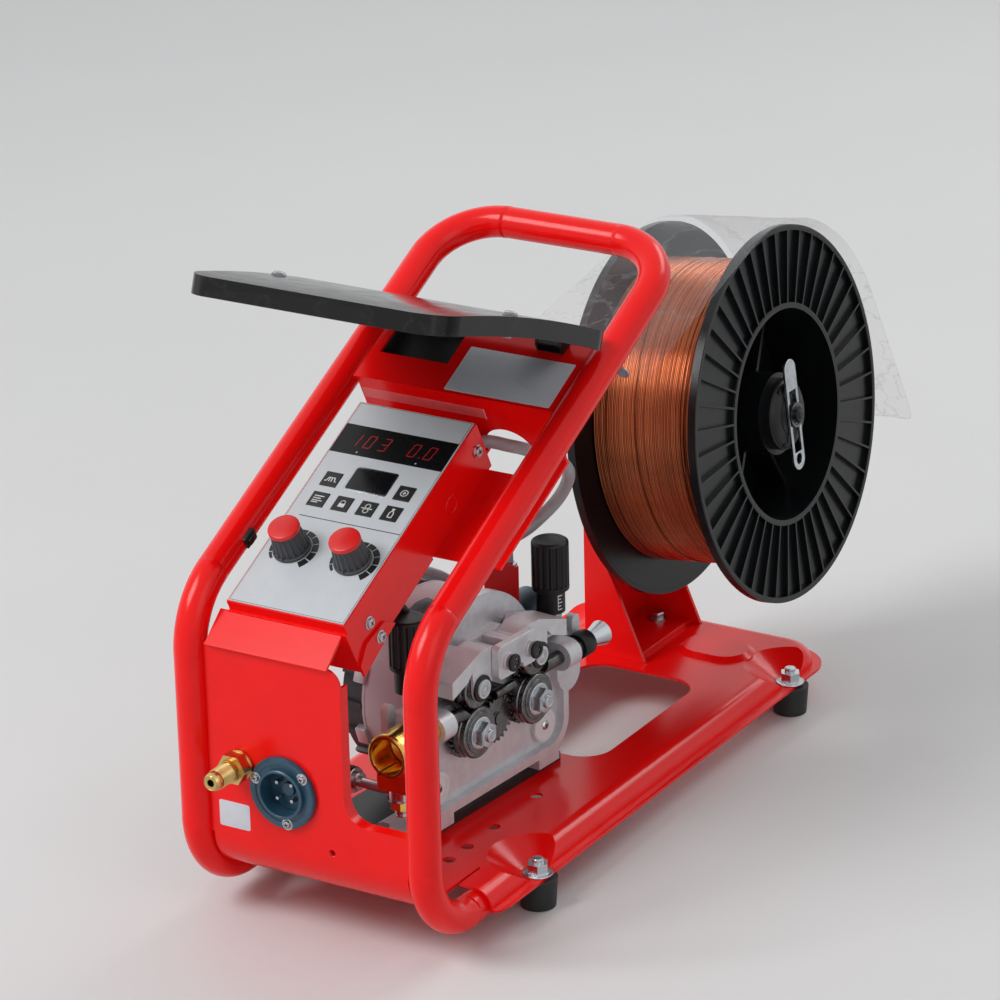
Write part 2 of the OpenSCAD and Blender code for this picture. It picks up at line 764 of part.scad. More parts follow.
module drive_gear(v, phase) {
    color(steel) drive() translate([0, v, roll_z]) {
        difference() {
            yz(gear_x[0], gear_x[1]) gear2d(drive_t, phase);
            rod_along_x(0, 30, 3);
        }
        rod_along_x(6, 36.5, shaft_r);
        rod_along_x(gear_x[0] - 0.7, gear_x[0], 8);
    }
}
module front_drive_gear() { drive_gear(-roll_v, front_phase); }
module rear_drive_gear() { drive_gear(roll_v, rear_phase); }

// Grooved roll about the x axis, with its groove at the wire line
module grooved(x0, x1, r, bore) {
    rotate([0, 90, 0]) rotate_extrude() polygon([[bore, x0], [r - 0.8, x0], [r, x0 + 0.8],
        [r, groove_x - 0.9], [r - 0.8, groove_x], [r, groove_x + 0.9],
        [r, x1 - 0.8], [r - 0.8, x1], [bore, x1]]);
}
module drive_roll(v) {
    color(steel) drive() translate([0, v, roll_z])
        grooved(gear_x[1], 33.5, drive_r - press_gap / 2, shaft_r);
}
module front_drive_roll() { drive_roll(-roll_v); }
module rear_drive_roll() { drive_roll(roll_v); }

module roll_nut(v) {
    color(steel) drive() translate([0, v, roll_z]) difference() {
        union() {
            rod_along_x(33.5, 35, 10.5);
            hex_along_x(35, 41, 16);
            rod_along_x(41, 43.5, 4.5);
        }
        rod_along_x(30, 36.5, shaft_r);
    }
}
module front_roll_nut() { roll_nut(-roll_v); }
module rear_roll_nut() { roll_nut(roll_v); }

module pinion() {
    color(steel) drive() translate([0, 0, pinion_z]) {
        yz(gear_x[0], gear_x[1]) gear2d(pinion_t, 0);
        rod_along_x(-12, gear_x[1] + 2, 4.5 - run);
    }
}

// Pressure arm, rear side: hub on its pivot, beam over the roll, cheek and forked end
module arm(front) {
    color(alu) drive() mirror([0, front ? 1 : 0, 0]) {
        difference() {
            union() {
                translate([0, arm_pivot[0], arm_pivot[1]]) rod_along_x(16.3, 35.7, 7.5);
                yz(16.3, 35.7) polygon([[arm_pivot[0], 159.5], [22, 164], [34, 164],
                    [66, 153], [66, 141], [44, 149], [28, 155], [arm_pivot[0], 146]]);
                yz(9, 17) polygon([[27, 156], [34, 164], [66, 153], [66, 141], [44, 149]]);
                translate([plate_x[0] + 0.5, 64, 136]) cube([12.5, arm_end - 64 - 8, 12]);
                translate([rod_x, arm_end - 8, 136]) cylinder(h = 12, r = 8);
                yz(9, 35.7) polygon([[60, 143], [66, 141], [66, 153], [60, 155.1]]);
            }
            translate([0, roll_v, press_z]) rod_along_x(17.3, 40, press_r + gear_m + 1);
            translate([0, arm_pivot[0], arm_pivot[1]]) rod_along_x(0, 60, 4 + run);
            translate([rod_x - 3.5, rod_v - 6, 130]) cube([7, 40, 30]);
        }
        yz(33.6, 35.7) difference() {
            hull() {
                translate([roll_v, press_z]) circle(9, $fn = 32);
                translate([roll_v + 3, 155]) circle(7, $fn = 32);
                translate([20, 154]) circle(5, $fn = 32);
            }
            translate(arm_pivot) circle(4 + run);
        }
        translate([0, roll_v, press_z]) {
            rod_along_x(17, 37, 4);
            rod_along_x(35.7, 38.5, 6.5);
        }
    }
}
module front_arm() { arm(true); }
module rear_arm() { arm(false); }

module pressure_roll(v, phase) {
    color(steel) drive() translate([0, v, press_z]) {
        yz(gear_x[0], gear_x[1]) difference() {
            gear2d(press_t, meshed(drive_t, phase, press_t, 90));
            circle(4 + run);
        }
        grooved(gear_x[1], 33.2, press_r, 4 + run);
    }
}
module front_pressure_roll() { pressure_roll(-roll_v, front_phase); }
module rear_pressure_roll() { pressure_roll(roll_v, rear_phase); }

module tension_rod(front) {
    color(steel) drive() mirror([0, front ? 1 : 0, 0]) translate([rod_x, rod_v, rod_z]) {
        rod_along_x(-4.2, 4.2, 6);
        rod_along_x(-9.5, 9.5, 2.5);
        cylinder(h = 66, r = rod_r);
    }
}
module front_tension_rod() { tension_rod(true); }
module rear_tension_rod() { tension_rod(false); }

module tension_knob(front) {
    h1 = 16.5;
    h2 = knob_top - knob_z;
    color(dark) drive() mirror([0, front ? 1 : 0, 0]) translate([rod_x, rod_v, knob_z])
        difference() {
            union() {
                cylinder(h = h1 + 1, r = 10);
                translate([0, 0, h1]) cylinder(h = h2 - h1 - 2, r = 13);
                translate([0, 0, h2 - 2]) cylinder(h = 2, r1 = 13, r2 = 11);
            }
            for (a = [0:20:340]) rotate([0, 0, a]) translate([13.8, 0, h1 + 3])
                cylinder(h = h2, r = 1.8, $fn = 16);
            translate([0, 0, -1]) cylinder(h = h2 - 3, r = rod_r + run);
        }
}
module front_tension_knob() { tension_knob(true); }
module rear_tension_knob() { tension_knob(false); }

module wire_guides() {
    color(steel) drive() translate([groove_x, 0, wire_z]) difference() {
        union() {
            rod_to_front(36, 102, 4.9);
            rod_to_front(boss_v + gap, 101, 6.9);
            translate([0, 101, 0]) rotate([-90, 0, 0]) cylinder(h = 16, r1 = 5, r2 = 9);
            rod_to_front(-11, 11, 3.5);
            rod_to_front(-boss_v, -36, 4.9);
            translate([plate_x[1] - groove_x, -3, -2.5])
                cube([groove_x - plate_x[1], 6, 5]);
        }
        rod_to_front(-200, 200, 1.2);
        translate([0, 101, 0]) rotate([-90, 0, 0]) cylinder(h = 16, r1 = 1.2, r2 = 8);
        for (s = [-1, 1], z = [-drive_r, press_r])
            translate([0, s * roll_v, z]) rod_along_x(-9, 9, 18.6);
    }
}

module torch_connector() {
    color(brass) drive() difference() {
        union() {
            translate([groove_x, 0, wire_z]) {
                rod_to_front(mouth_v, mouth_v + 27, torch_d / 2);
                rod_to_front(mouth_v + 20, -boss_v - gap, 6.9);
            }
            // Clamp block under the tube, with the clamp bolt and its nut
            translate([groove_x - 13, clamp_v - 9, clamp_z]) cube([26, 18, wire_z - clamp_z]);
            translate([groove_x, clamp_v, clamp_z - 19]) cylinder(h = 20, r = 4);
            translate([groove_x, clamp_v, clamp_z - 14.4])
                cylinder(h = 6.5, r = 13 / 2 / cos(30), $fn = 6);
        }
        translate([groove_x, 0, wire_z]) {
            rod_to_front(mouth_v - 9, mouth_v + 23, torch_bore / 2);
            rod_to_front(mouth_v - 9, 0, 2.5);
        }
    }
}

module clamp_lever() {
    color(steel) drive() translate([groove_x, clamp_v, clamp_z - 4]) {
        difference() {
            union() {
                translate([0, 0, -3]) cylinder(h = 6.7, r = 8);
                rod_along_x(-37, -6, 3.5);
                rod_along_x(-37, -33, 6);
                rod_along_x(-46, -37, 8.5);
            }
            translate([0, 0, -9]) cylinder(h = 18, r = 4 + run);
        }
    }
}

// ---- Front panel fittings ----
module gas_nipple() {
    color(brass) translate([nipple[0], 0, nipple[1]]) difference() {
        union() {
            rod_to_front(-nipple_tip + 4, 12, 6.5);
            rod_to_front(-4, -sheet / 2, 10.5);
            translate([0, -4, 0]) rotate([90, 0, 0])
                cylinder(h = 9, r = 19 / 2 / cos(30), $fn = 6);
            rod_to_front(-17, -13, 8);
            translate([0, 4 - nipple_tip, 0]) rotate([90, 0, 0])
                cylinder(h = 4, r1 = 6.5, r2 = 4.5);
            translate([0, 7, 0]) rotate([90, 0, 0])
                cylinder(h = 6, r = 19 / 2 / cos(30), $fn = 6);
            rod_to_front(12, 26, 4);
        }
        rod_to_front(-40, 30, 2.6);
    }
}

module panel_socket() {
    color([0.1, 0.22, 0.3]) translate([socket[0], 0, socket[1]]) {
        difference() {
            union() {
                rod_to_front(-4, -sheet / 2, socket_r);
                rod_to_front(-6, 18, 17);
            }
            rod_to_front(-9, 6, 15);
        }
        for (a = [45, 135, 225, 315]) rotate([0, a, 0]) translate([8, 0, 0])
            rod_to_front(0, 7, 1.6);
        translate([-1.5, 0, 12.5]) cube([3, 6.5, 3]);
        for (a = [80, 200, 320]) rotate([0, a, 0]) translate([21.3, 0, 0])
            rod_to_front(-6, -4, 2.6);
    }
}

// ---- Gas valve, hose and cable ----
module gas_valve() {
    color([0.1, 0.3, 0.36]) drive() translate([valve_at[0], 0, 0]) difference() {
        union() {
            // Coil along the wire direction, on a plate that stands on the motor
            translate([0, 0, valve_at[2]]) {
                rod_to_front(valve_at[1] + 2, valve_at[1] + 34, valve_r);
                rod_to_front(valve_at[1] + 34, valve_at[1] + 38, valve_r - 3);
                translate([0, valve_at[1] + valve_port, 0]) {
                    rod_along_x(-valve_r - 6, 0, 6);
                    rod_along_x(-valve_tip, 0, 4);
                }
            }
            translate([-valve_r, valve_at[1], motor_z]) cube([2 * valve_r, 2, 66]);
            // Cable gland on top of the coil
            translate([0, valve_at[1] + gland_v, valve_at[2]]) {
                cylinder(h = gland_top - valve_at[2] - 6, r = 5);
                translate([0, 0, gland_top - valve_at[2] - 14])
                    cylinder(h = 9, r = 14 / 2 / cos(30), $fn = 6);
                cylinder(h = gland_top - valve_at[2], r = cable_r);
            }
        }
        translate([0, 0.5, motor_z]) rod_along_x(-60, 60, motor_r);
    }
}

function spline(p, n) = [for (i = [0:len(p) - 2], k = [0:n - 1]) let(t = k / n,
    a = p[max(i - 1, 0)], b = p[i], c = p[i + 1], d = p[min(i + 2, len(p) - 1)])
    0.5 * ((2 * b) + (c - a) * t + (2 * a - 5 * b + 4 * c - d) * t * t
        + (3 * b - a - 3 * c + d) * t * t * t), p[len(p) - 1]];
function unit(v) = v / norm(v);
function side_vec(d) = unit(cross(d, abs(d[0]) < 0.8 ? [1, 0, 0] : [0, 0, 1]));
function carried(s, d) = unit(s - d * (s * d));
// Frames of a sweep: each ring's side vector is carried on from the last
function sides(dirs, i, s) = i >= len(dirs) ? [] :
    let(c = carried(s, dirs[i])) concat([c], sides(dirs, i + 1, c));
// Closed tube along a path of points
module sweep_tube(path, r, n) {
    m = len(path);
    dirs = [for (i = [0:m - 1]) unit(path[min(i + 1, m - 1)] - path[max(i - 1, 0)])];
    su = sides(dirs, 0, side_vec(dirs[0]));
    pts = [for (i = [0:m - 1]) let(w = cross(dirs[i], su[i])) for (k = [0:n - 1])
        path[i] + r * (cos(360 * k / n) * su[i] + sin(360 * k / n) * w)];
    faces = concat([[for (k = [0:n - 1]) k]],
        [for (i = [0:m - 2], k = [0:n - 1]) [i * n + k, (i + 1) * n + k,
            (i + 1) * n + (k + 1) % n, i * n + (k + 1) % n]],
        [[for (k = [n - 1:-1:0]) (m - 1) * n + k]]);
    polyhedron(pts, faces, convexity = 6);
}

// Point of the drive's turned frame
function drive_pt(p) = [p[0] * cos(drive_yaw) - (p[1] + drive_v) * sin(drive_yaw),
    p[0] * sin(drive_yaw) + (p[1] + drive_v) * cos(drive_yaw), p[2]];
gland_at = drive_pt([valve_at[0], valve_at[1] + gland_v, gland_top]);
port_at = drive_pt([valve_at[0] - valve_tip, valve_at[1] + valve_port, valve_at[2]]);
// Control cable out of the box, through the tray's hole and down to the valve
cable_pts = [[15, 181, 283], [15, 190, 287.6], [20, 198.5, 289.5], [32, 206.5, 286],
    [40, 219, 280], [48, 242, 267], [42, 268, 247], [26, 281, 222], [12, 268, 204], [4, 252, 197],
    gland_at + [0, 0, 7], gland_at];
port_lead = drive_pt([valve_at[0] - valve_tip - 10, valve_at[1] + valve_port, valve_at[2]]);
hose_pts = [[nipple[0], 26, nipple[1]], [nipple[0], 34, nipple[1]], [-53, 50, 122], [-60, 84, 132], [-64, 140, 152],
    [-63, 190, 169], [-60, 224, 171], [-55, 252, 159], [-46, 265, 146], port_lead, port_at];
module control_cable() {
    color([0.6, 0.62, 0.64]) sweep_tube(spline(cable_pts, 4), cable_r, 10);
}
module gas_hose() { color([0.6, 0.62, 0.64]) sweep_tube(spline(hose_pts, 4), 4.5, 10); }

// ---- Spool and its hub ----
module spool_bracket() {
    y = [432, 520];
    t = 3;
    top = 250;
    color(red) difference() {
        union() {
            xz(y[0], y[1]) polygon([[bracket_x - t, deck_z], [bracket_x, deck_z],
                [bracket_x, lean_z], [bracket_x - (top - lean_z) * tan(hub_tilt), top],
                [bracket_x - (top - lean_z) * tan(hub_tilt) - t, top], [bracket_x - t, lean_z]]);
            for (yy = [y[0], y[1] - t]) xz(yy, yy + t) polygon([[bracket_x - 1, deck_z],
                [7, deck_z], [-19.6, 97.7], [-25.3, 108.5], [bracket_x - 1, 200]]);
            translate([bracket_x - 1, y[0], deck_z]) cube([40, 88, t]);
        }
        translate([-27, y[0], 52.8]) rod_to_front(-9, 9, 4);
    }
}

module hub_spindle() {
    color(steel) hub() difference() {
        union() {
            rod_along_x(bracket_local, bracket_local + 6, 26);
            rod_along_x(bracket_local, -106, 14);
            rod_along_x(-108, 0.5, spindle_r);
            rod_along_x(0, 8, 3.5);
            rod_along_x(6.4, 7.4, 9);
            hex_along_x(7.4, 9.4, 10);
        }
        rod_along_x(bracket_local - 1, bracket_local + 20, 3);
    }
}

module hub_drum() {
    color(dark) hub() difference() {
        union() {
            rod_along_x(-spool_w - 1.5, -spool_w + 3, 34);
            rod_along_x(-spool_w, -1, drum_r);
            rod_along_x(-2, latch_x - gap, 15);
            translate([3, -5, -8]) cube([latch_x + latch_t - 2.6, 10, 16]);
        }
        rod_along_x(-200, 0.8, spindle_r + run);
        rod_along_x(-9, 9, 4);
    }
}

// Flange from x0, with rims and ribs, and its plate on the side that meets the wire
module spool_flange(x0, plate_x0) {
    yz(x0, x0 + rim_t) {
        ring2d(spool_r, spool_r - 4);
        ring2d(spool_eye + 4, spool_eye);
        for (i = [0:43]) rotate((i + 0.5) * 360 / 44) translate([spool_eye + 3, -0.8])
            square([spool_r - spool_eye - 6, 1.6]);
    }
    yz(plate_x0, plate_x0 + 2.5) ring2d(spool_r - 2, spool_eye + 2);
}

module spool() {
    color(dark) hub() {
        spool_flange(-rim_t, -rim_t);
        spool_flange(-spool_w, rim_t - spool_w - 2.5);
        difference() {
            rod_along_x(-spool_w + 1, -1, barrel_r);
            rod_along_x(-200, 200, spool_eye);
        }
        difference() {
            union() {
                rod_along_x(-56, -52, spool_eye + 1);
                rod_along_x(-spool_w + 3, -8, 29.5);
                for (a = [0:60:300]) rotate([a + 30, 0, 0])
                    translate([-80, -1.5, 28]) cube([50, 3, spool_eye - 27]);
            }
            rod_along_x(-200, 200, spool_bore / 2);
            for (a = [0:60:300]) rotate([a, 0, 0]) translate([0, 0, 53])
                rod_along_x(-90, 0, 15);
        }
    }
}

module wire_core() {
    color([0.7, 0.4, 0.22]) hub() difference() {
        rod_along_x(-spool_w + rim_t, -rim_t, core_r);
        rod_along_x(-200, 200, barrel_r);
    }
}

module wire_winding() {
    x0 = -spool_w + rim_t + wire_r + 0.3;
    path = [for (i = [0:loops * loop_rings]) let(a = i * 360 / loop_rings)
        [x0 + loop_pitch * i / loop_rings, loop_r * cos(a), loop_r * sin(a)]];
    color([0.78, 0.45, 0.25]) hub() winding_tube(path);
}
// The tube's rings stand radially, so neighbouring turns lie parallel
module winding_tube(path) {
    n = loop_sides;
    m = len(path);
    pts = [for (p = path) let(out = unit([0, p[1], p[2]])) for (k = [0:n - 1])
        p + wire_r * (cos(360 * k / n) * [1, 0, 0] + sin(360 * k / n) * out)];
    faces = concat([[for (k = [n - 1:-1:0]) k]],
        [for (i = [0:m - 2], k = [0:n - 1]) [i * n + k, i * n + (k + 1) % n,
            (i + 1) * n + (k + 1) % n, (i + 1) * n + k]],
        [[for (k = [0:n - 1]) (m - 1) * n + k]]);
    polyhedron(pts, faces, convexity = 6);
}

module spool_latch() {
    color(steel) hub() difference() {
        union() {
            translate([latch_x, -8, -33]) cube([latch_t, 16, 66]);
            for (z = [-33, 33]) translate([0, 0, z]) rod_along_x(latch_x, latch_x + latch_t, 8);
        }
        translate([3, -5 - run, -28]) cube([3, 10 + 2 * run, 46]);
        translate([0, 0, -33]) rod_along_x(0, 9, 4);
    }
}

// Points across the cover's profile at local x, raised by t: a lap on the tray's
// back, the flat run to the spool, the round over it and the free tail
function cover_row(side, t) = let(x = cover_x[side], r = cover_r + t,
    lap = [for (q = [[tray_s[1] + cover_t - t, -33], [tray_s[1] + cover_t - t, -25.5 + t]])
        concat([cover_front[side]], on_slope(q[0], q[1]))],
    top = hub_pt([x, r * cos(cover_a[0]), r * sin(cover_a[0])]))
    concat([lap[0]], [for (k = [0:3]) lap[1] + (top - lap[1]) * k / 4],
        [for (a = [cover_a[0]:-5:cover_a[1]]) hub_pt([x, r * cos(a), r * sin(a)])],
        [hub_pt([x, 174 + t, -60 + 0.4 * t])]);
module spool_cover() {
    rows = [cover_row(0, 0), cover_row(1, 0), cover_row(1, cover_t), cover_row(0, cover_t)];
    m = len(rows[0]);
    pts = [for (i = [0:m - 1], k = [0:3]) rows[k][i]];
    end = (m - 1) * 4;
    faces = concat([[2, 1, 0], [3, 2, 0], [end, end + 1, end + 2], [end, end + 2, end + 3]],
        [for (i = [0:m - 2], k = [0:3]) let(a = i * 4 + k, b = i * 4 + (k + 1) % 4)
            each k == 2 ? [[a, b, a + 4], [b, b + 4, a + 4]] : [[a, b, b + 4], [a, b + 4, a + 4]]]);
    color([0.85, 0.9, 0.92, 0.35]) polyhedron(pts, faces, convexity = 6);
}

// ---- Feet with their bolts ----
module feet() {
    color(dark) for (p = foot_pts) both() translate([p[0], p[1], 0]) {
        difference() {
            cylinder(h = foot_h, r1 = foot_d / 2 - 1.5, r2 = foot_d / 2);
            translate([0, 0, -1]) cylinder(h = 7, r = 7);
        }
        translate([0, 0, foot_h - 1]) cylinder(h = 14, r = 4);
        translate([0, 0, flange_z]) cylinder(h = 1.6, r = 8);
        translate([0, 0, flange_z + 1.6]) cylinder(h = 6.5, r = 13 / 2 / cos(30), $fn = 6);
    }
}

placed() tube_frame();
placed() chassis_pan();
placed() box_bracket();
placed() upper_tray();
placed() control_box();
placed() control_panel();
placed() display_windows();
placed() dial_pots();
placed() box_screws();
placed() amps_dial();
placed() volts_dial();
placed() key_1();
placed() key_2();
placed() key_3();
placed() key_4();
placed() key_5();
placed() key_6();
placed() visor();
placed() visor_bumpers();
placed() visor_hinges();
placed() insulating_plate();
placed() drive_casting();
placed() drive_bolts();
placed() gear_housing();
placed() motor_body();
placed() motor_end_ring();
placed() arm_bridge();
placed() cap_discs();
placed() pinion();
placed() front_drive_gear();
placed() front_drive_roll();
placed() front_roll_nut();
placed() rear_drive_gear();
placed() rear_drive_roll();
placed() rear_roll_nut();
placed() front_arm();
placed() rear_arm();
placed() front_pressure_roll();
placed() rear_pressure_roll();
placed() front_tension_rod();
placed() rear_tension_rod();
placed() front_tension_knob();
placed() rear_tension_knob();
placed() wire_guides();
placed() torch_connector();
placed() clamp_lever();
placed() gas_nipple();
placed() panel_socket();
placed() gas_valve();
placed() gas_hose();
placed() control_cable();
placed() spool_bracket();
placed() hub_spindle();
placed() hub_drum();
placed() spool();
placed() wire_core();
placed() wire_winding();
placed() spool_latch();
placed() spool_cover();
placed() feet();
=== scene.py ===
import json
import math
import bpy
import bmesh
from mathutils import Matrix, Vector

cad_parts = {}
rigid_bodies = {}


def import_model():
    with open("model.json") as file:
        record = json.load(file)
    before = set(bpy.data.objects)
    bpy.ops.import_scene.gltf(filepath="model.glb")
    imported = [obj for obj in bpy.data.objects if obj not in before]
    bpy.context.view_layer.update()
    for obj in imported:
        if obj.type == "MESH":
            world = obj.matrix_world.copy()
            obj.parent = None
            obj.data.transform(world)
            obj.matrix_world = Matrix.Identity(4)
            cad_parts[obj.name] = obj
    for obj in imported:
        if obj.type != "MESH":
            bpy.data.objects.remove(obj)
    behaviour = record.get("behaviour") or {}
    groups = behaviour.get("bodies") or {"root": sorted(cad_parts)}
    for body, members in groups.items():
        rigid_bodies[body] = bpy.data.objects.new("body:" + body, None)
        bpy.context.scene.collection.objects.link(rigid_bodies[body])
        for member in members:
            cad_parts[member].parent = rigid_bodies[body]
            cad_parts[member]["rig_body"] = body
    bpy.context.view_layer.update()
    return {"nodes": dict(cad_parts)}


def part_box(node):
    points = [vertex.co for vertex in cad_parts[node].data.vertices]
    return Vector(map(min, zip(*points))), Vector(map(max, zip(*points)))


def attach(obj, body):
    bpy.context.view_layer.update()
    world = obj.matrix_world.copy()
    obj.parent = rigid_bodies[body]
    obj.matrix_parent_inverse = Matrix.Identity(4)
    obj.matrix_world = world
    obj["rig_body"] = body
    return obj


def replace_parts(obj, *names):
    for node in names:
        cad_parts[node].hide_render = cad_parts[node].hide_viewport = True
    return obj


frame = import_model()
nodes = frame["nodes"]

# ---------------------------------------------------------------- places
# Sizes below are in millimetres, in the frame that each matrix stands for.
UPRIGHT = 11.1          # from the plane of the uprights to the front of the tube
lo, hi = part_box("tube_frame")
BASE = Matrix.Translation(((lo.x + hi.x) / 2, lo.y + UPRIGHT / 1000, 0)) @ Matrix.Scale(0.001, 4)


def turned(parent, at, angle, axis):
    return parent @ Matrix.Translation(at) @ Matrix.Rotation(math.radians(angle), 4, axis)


def at(parent, x, y, z):
    return parent @ Matrix.Translation((x, y, z))


def facing(parent, x, y, z, d):
    """Frame at a point whose local Z runs along d."""
    return parent @ Matrix.Translation((x, y, z)) @ Vector(d).to_track_quat("Z", "Y").to_matrix().to_4x4()


SLOPE_DEG = 26.8
SLOPE = turned(BASE, (0, 0, 223), SLOPE_DEG, "X")
DRIVE = at(turned(BASE, (0, 0, 0), -4.5, "Z"), 0, 177.5, 0)
HUB_AT = (101.7, 475.7, 232.7)
HUB_TILT = 6.76
HUB = turned(BASE, HUB_AT, -HUB_TILT, "Y")


# ---------------------------------------------------------------- camera
def main_camera():
    yaw, pitch, roll = (math.radians(a) for a in (31.453, -21.182, -1.339))
    d = Vector((-math.sin(yaw) * math.cos(pitch), math.cos(yaw) * math.cos(pitch), math.sin(pitch)))
    right = Vector((math.cos(yaw), math.sin(yaw), 0))
    up = right.cross(d)
    r = right * math.cos(roll) + up * math.sin(roll)
    u = -right * math.sin(roll) + up * math.cos(roll)
    cam = bpy.data.objects.new("camera", bpy.data.cameras.new("camera"))
    m = Matrix((r, u, -d)).transposed().to_4x4()
    m.translation = BASE @ Vector((1464.73, -2148.30, 1315.36))
    cam.matrix_world = m
    cam.data.sensor_width = 36
    cam.data.lens = 158.915
    cam.data.clip_end = 50
    bpy.context.scene.collection.objects.link(cam)
    bpy.context.scene.camera = cam


main_camera()


# ---------------------------------------------------------------- node helpers
def rgb(r, g, b):
    def lin(c):
        c /= 255
        return c / 12.92 if c <= 0.04045 else ((c + 0.055) / 1.055) ** 2.4
    return (lin(r), lin(g), lin(b), 1)


class Net:
    def __init__(self, tree):
        self.tree = tree

    def add(self, kind, inputs, **props):
        node = self.tree.nodes.new(kind)
        for k, v in props.items():
            setattr(node, k, v)
        for k, v in inputs.items():
            if isinstance(v, bpy.types.NodeSocket):
                self.tree.links.new(v, node.inputs[k])
            else:
                node.inputs[k].default_value = v
        return node

    def math(self, op, a, b=0.0):
        return self.add("ShaderNodeMath", {0: a, 1: b}, operation=op).outputs[0]

    def noise(self, vector, scale, detail=3.0, rough=0.55):
        return self.add("ShaderNodeTexNoise", {"Vector": vector, "Scale": scale,
                        "Detail": detail, "Roughness": rough}).outputs["Fac"]

    def ramp(self, value, a, b, lo=0.0, hi=1.0):
        return self.add("ShaderNodeMapRange", {"Value": value, "From Min": a, "From Max": b,
                        "To Min": lo, "To Max": hi}).outputs["Result"]

    def mix(self, factor, a, b):
        return self.add("ShaderNodeMix", {0: factor, 6: a, 7: b}, data_type="RGBA").outputs[2]


def group(name, ins, outs):
    tree = bpy.data.node_groups.new(name, "ShaderNodeTree")
    for label, kind in ins:
        tree.interface.new_socket(label, in_out="INPUT", socket_type="NodeSocket" + kind)
    for label, kind in outs:
        tree.interface.new_socket(label, in_out="OUTPUT", socket_type="NodeSocket" + kind)
    return Net(tree), tree.nodes.new("NodeGroupInput").outputs, tree.nodes.new("NodeGroupOutput").inputs


def make_finish():
    """Mottled colour, uneven roughness and fine relief, from object coordinates."""
    net, gin, gout = group("Finish", [("Color", "Color"), ("Dark", "Color"), ("Stretch", "Vector"),
        ("Scale", "Float"), ("Mottle", "Float"), ("Rough", "Float"), ("Spread", "Float"),
        ("Grain", "Float"), ("Relief", "Float")],
        [("Color", "Color"), ("Roughness", "Float"), ("Normal", "Vector")])
    place = net.add("ShaderNodeTexCoord", {}).outputs["Object"]
    place = net.add("ShaderNodeVectorMath", {0: place, 1: gin["Stretch"]}, operation="MULTIPLY").outputs[0]
    spots = net.ramp(net.noise(place, gin["Scale"], 5, 0.62), 0.36, 0.68)
    colour = net.mix(net.math("MULTIPLY", spots, gin["Mottle"]), gin["Color"], gin["Dark"])
    haze = net.noise(place, net.math("MULTIPLY", gin["Scale"], 2.7), 4)
    rough = net.math("MULTIPLY_ADD", net.math("SUBTRACT", haze, 0.5), gin["Spread"])
    rough.node.inputs[2].default_value = 0
    net.tree.links.new(gin["Rough"], rough.node.inputs[2])
    fine = net.noise(place, gin["Grain"], 3)
    bump = net.add("ShaderNodeBump", {"Strength": 1.0, "Distance": gin["Relief"], "Height": fine})
    net.tree.links.new(colour, gout["Color"])
    net.tree.links.new(rough, gout["Roughness"])
    net.tree.links.new(bump.outputs[0], gout["Normal"])
    return net.tree


FINISH = make_finish()


def material(name, color, dark, rough, spread=0.12, scale=60, mottle=0.5, grain=900, relief=0.00002,
             stretch=(1, 1, 1), metal=0.0, over=None, **shader):
    """Principled material on the Finish group; over(net, colour, rough) may lay a second tone on it."""
    m = bpy.data.materials.new(name)
    m.use_nodes = True
    net = Net(m.node_tree)
    bsdf = m.node_tree.nodes["Principled BSDF"]
    f = net.add("ShaderNodeGroup", {}, node_tree=FINISH)
    for k, v in (("Color", color), ("Dark", dark), ("Stretch", stretch), ("Scale", scale),
                 ("Mottle", mottle), ("Rough", rough), ("Spread", spread), ("Grain", grain),
                 ("Relief", relief)):
        f.inputs[k].default_value = v
    out = {"Base Color": f.outputs["Color"], "Roughness": f.outputs["Roughness"],
           "Normal": f.outputs["Normal"]}
    bsdf.inputs["Metallic"].default_value = metal
    for k, v in shader.items():
        bsdf.inputs[k.replace("_", " ")].default_value = v
    if over:
        out.update(over(net, out["Base Color"], out["Roughness"]))
    for k, v in out.items():
        m.node_tree.links.new(v, bsdf.inputs[k])
    m.diffuse_color = color
    return m


def place_axis(net, matrix, axis):
    """Coordinate along one axis of a frame, in millimetres, from object coordinates."""
    inv = matrix.inverted()
    row = inv[axis]
    place = net.add("ShaderNodeTexCoord", {}).outputs["Object"]
    dot = net.add("ShaderNodeVectorMath", {0: place, 1: row[:3]}, operation="DOT_PRODUCT").outputs["Value"]
    return net.math("ADD", dot, row[3])


def above(matrix, axis, level, color, rough, metal=None):
    """Second tone beyond a level along an axis of a frame."""
    def lay(net, colour, roughness):
        mask = net.ramp(place_axis(net, matrix, axis), level - 0.05, level + 0.05)
        out = {"Base Color": net.mix(mask, colour, color),
               "Roughness": net.add("ShaderNodeMix", {0: mask, 2: roughness, 3: rough}).outputs[0]}
        if metal is not None:
            out["Metallic"] = net.ramp(mask, 0, 1, metal[0], metal[1])
        return out
    return lay


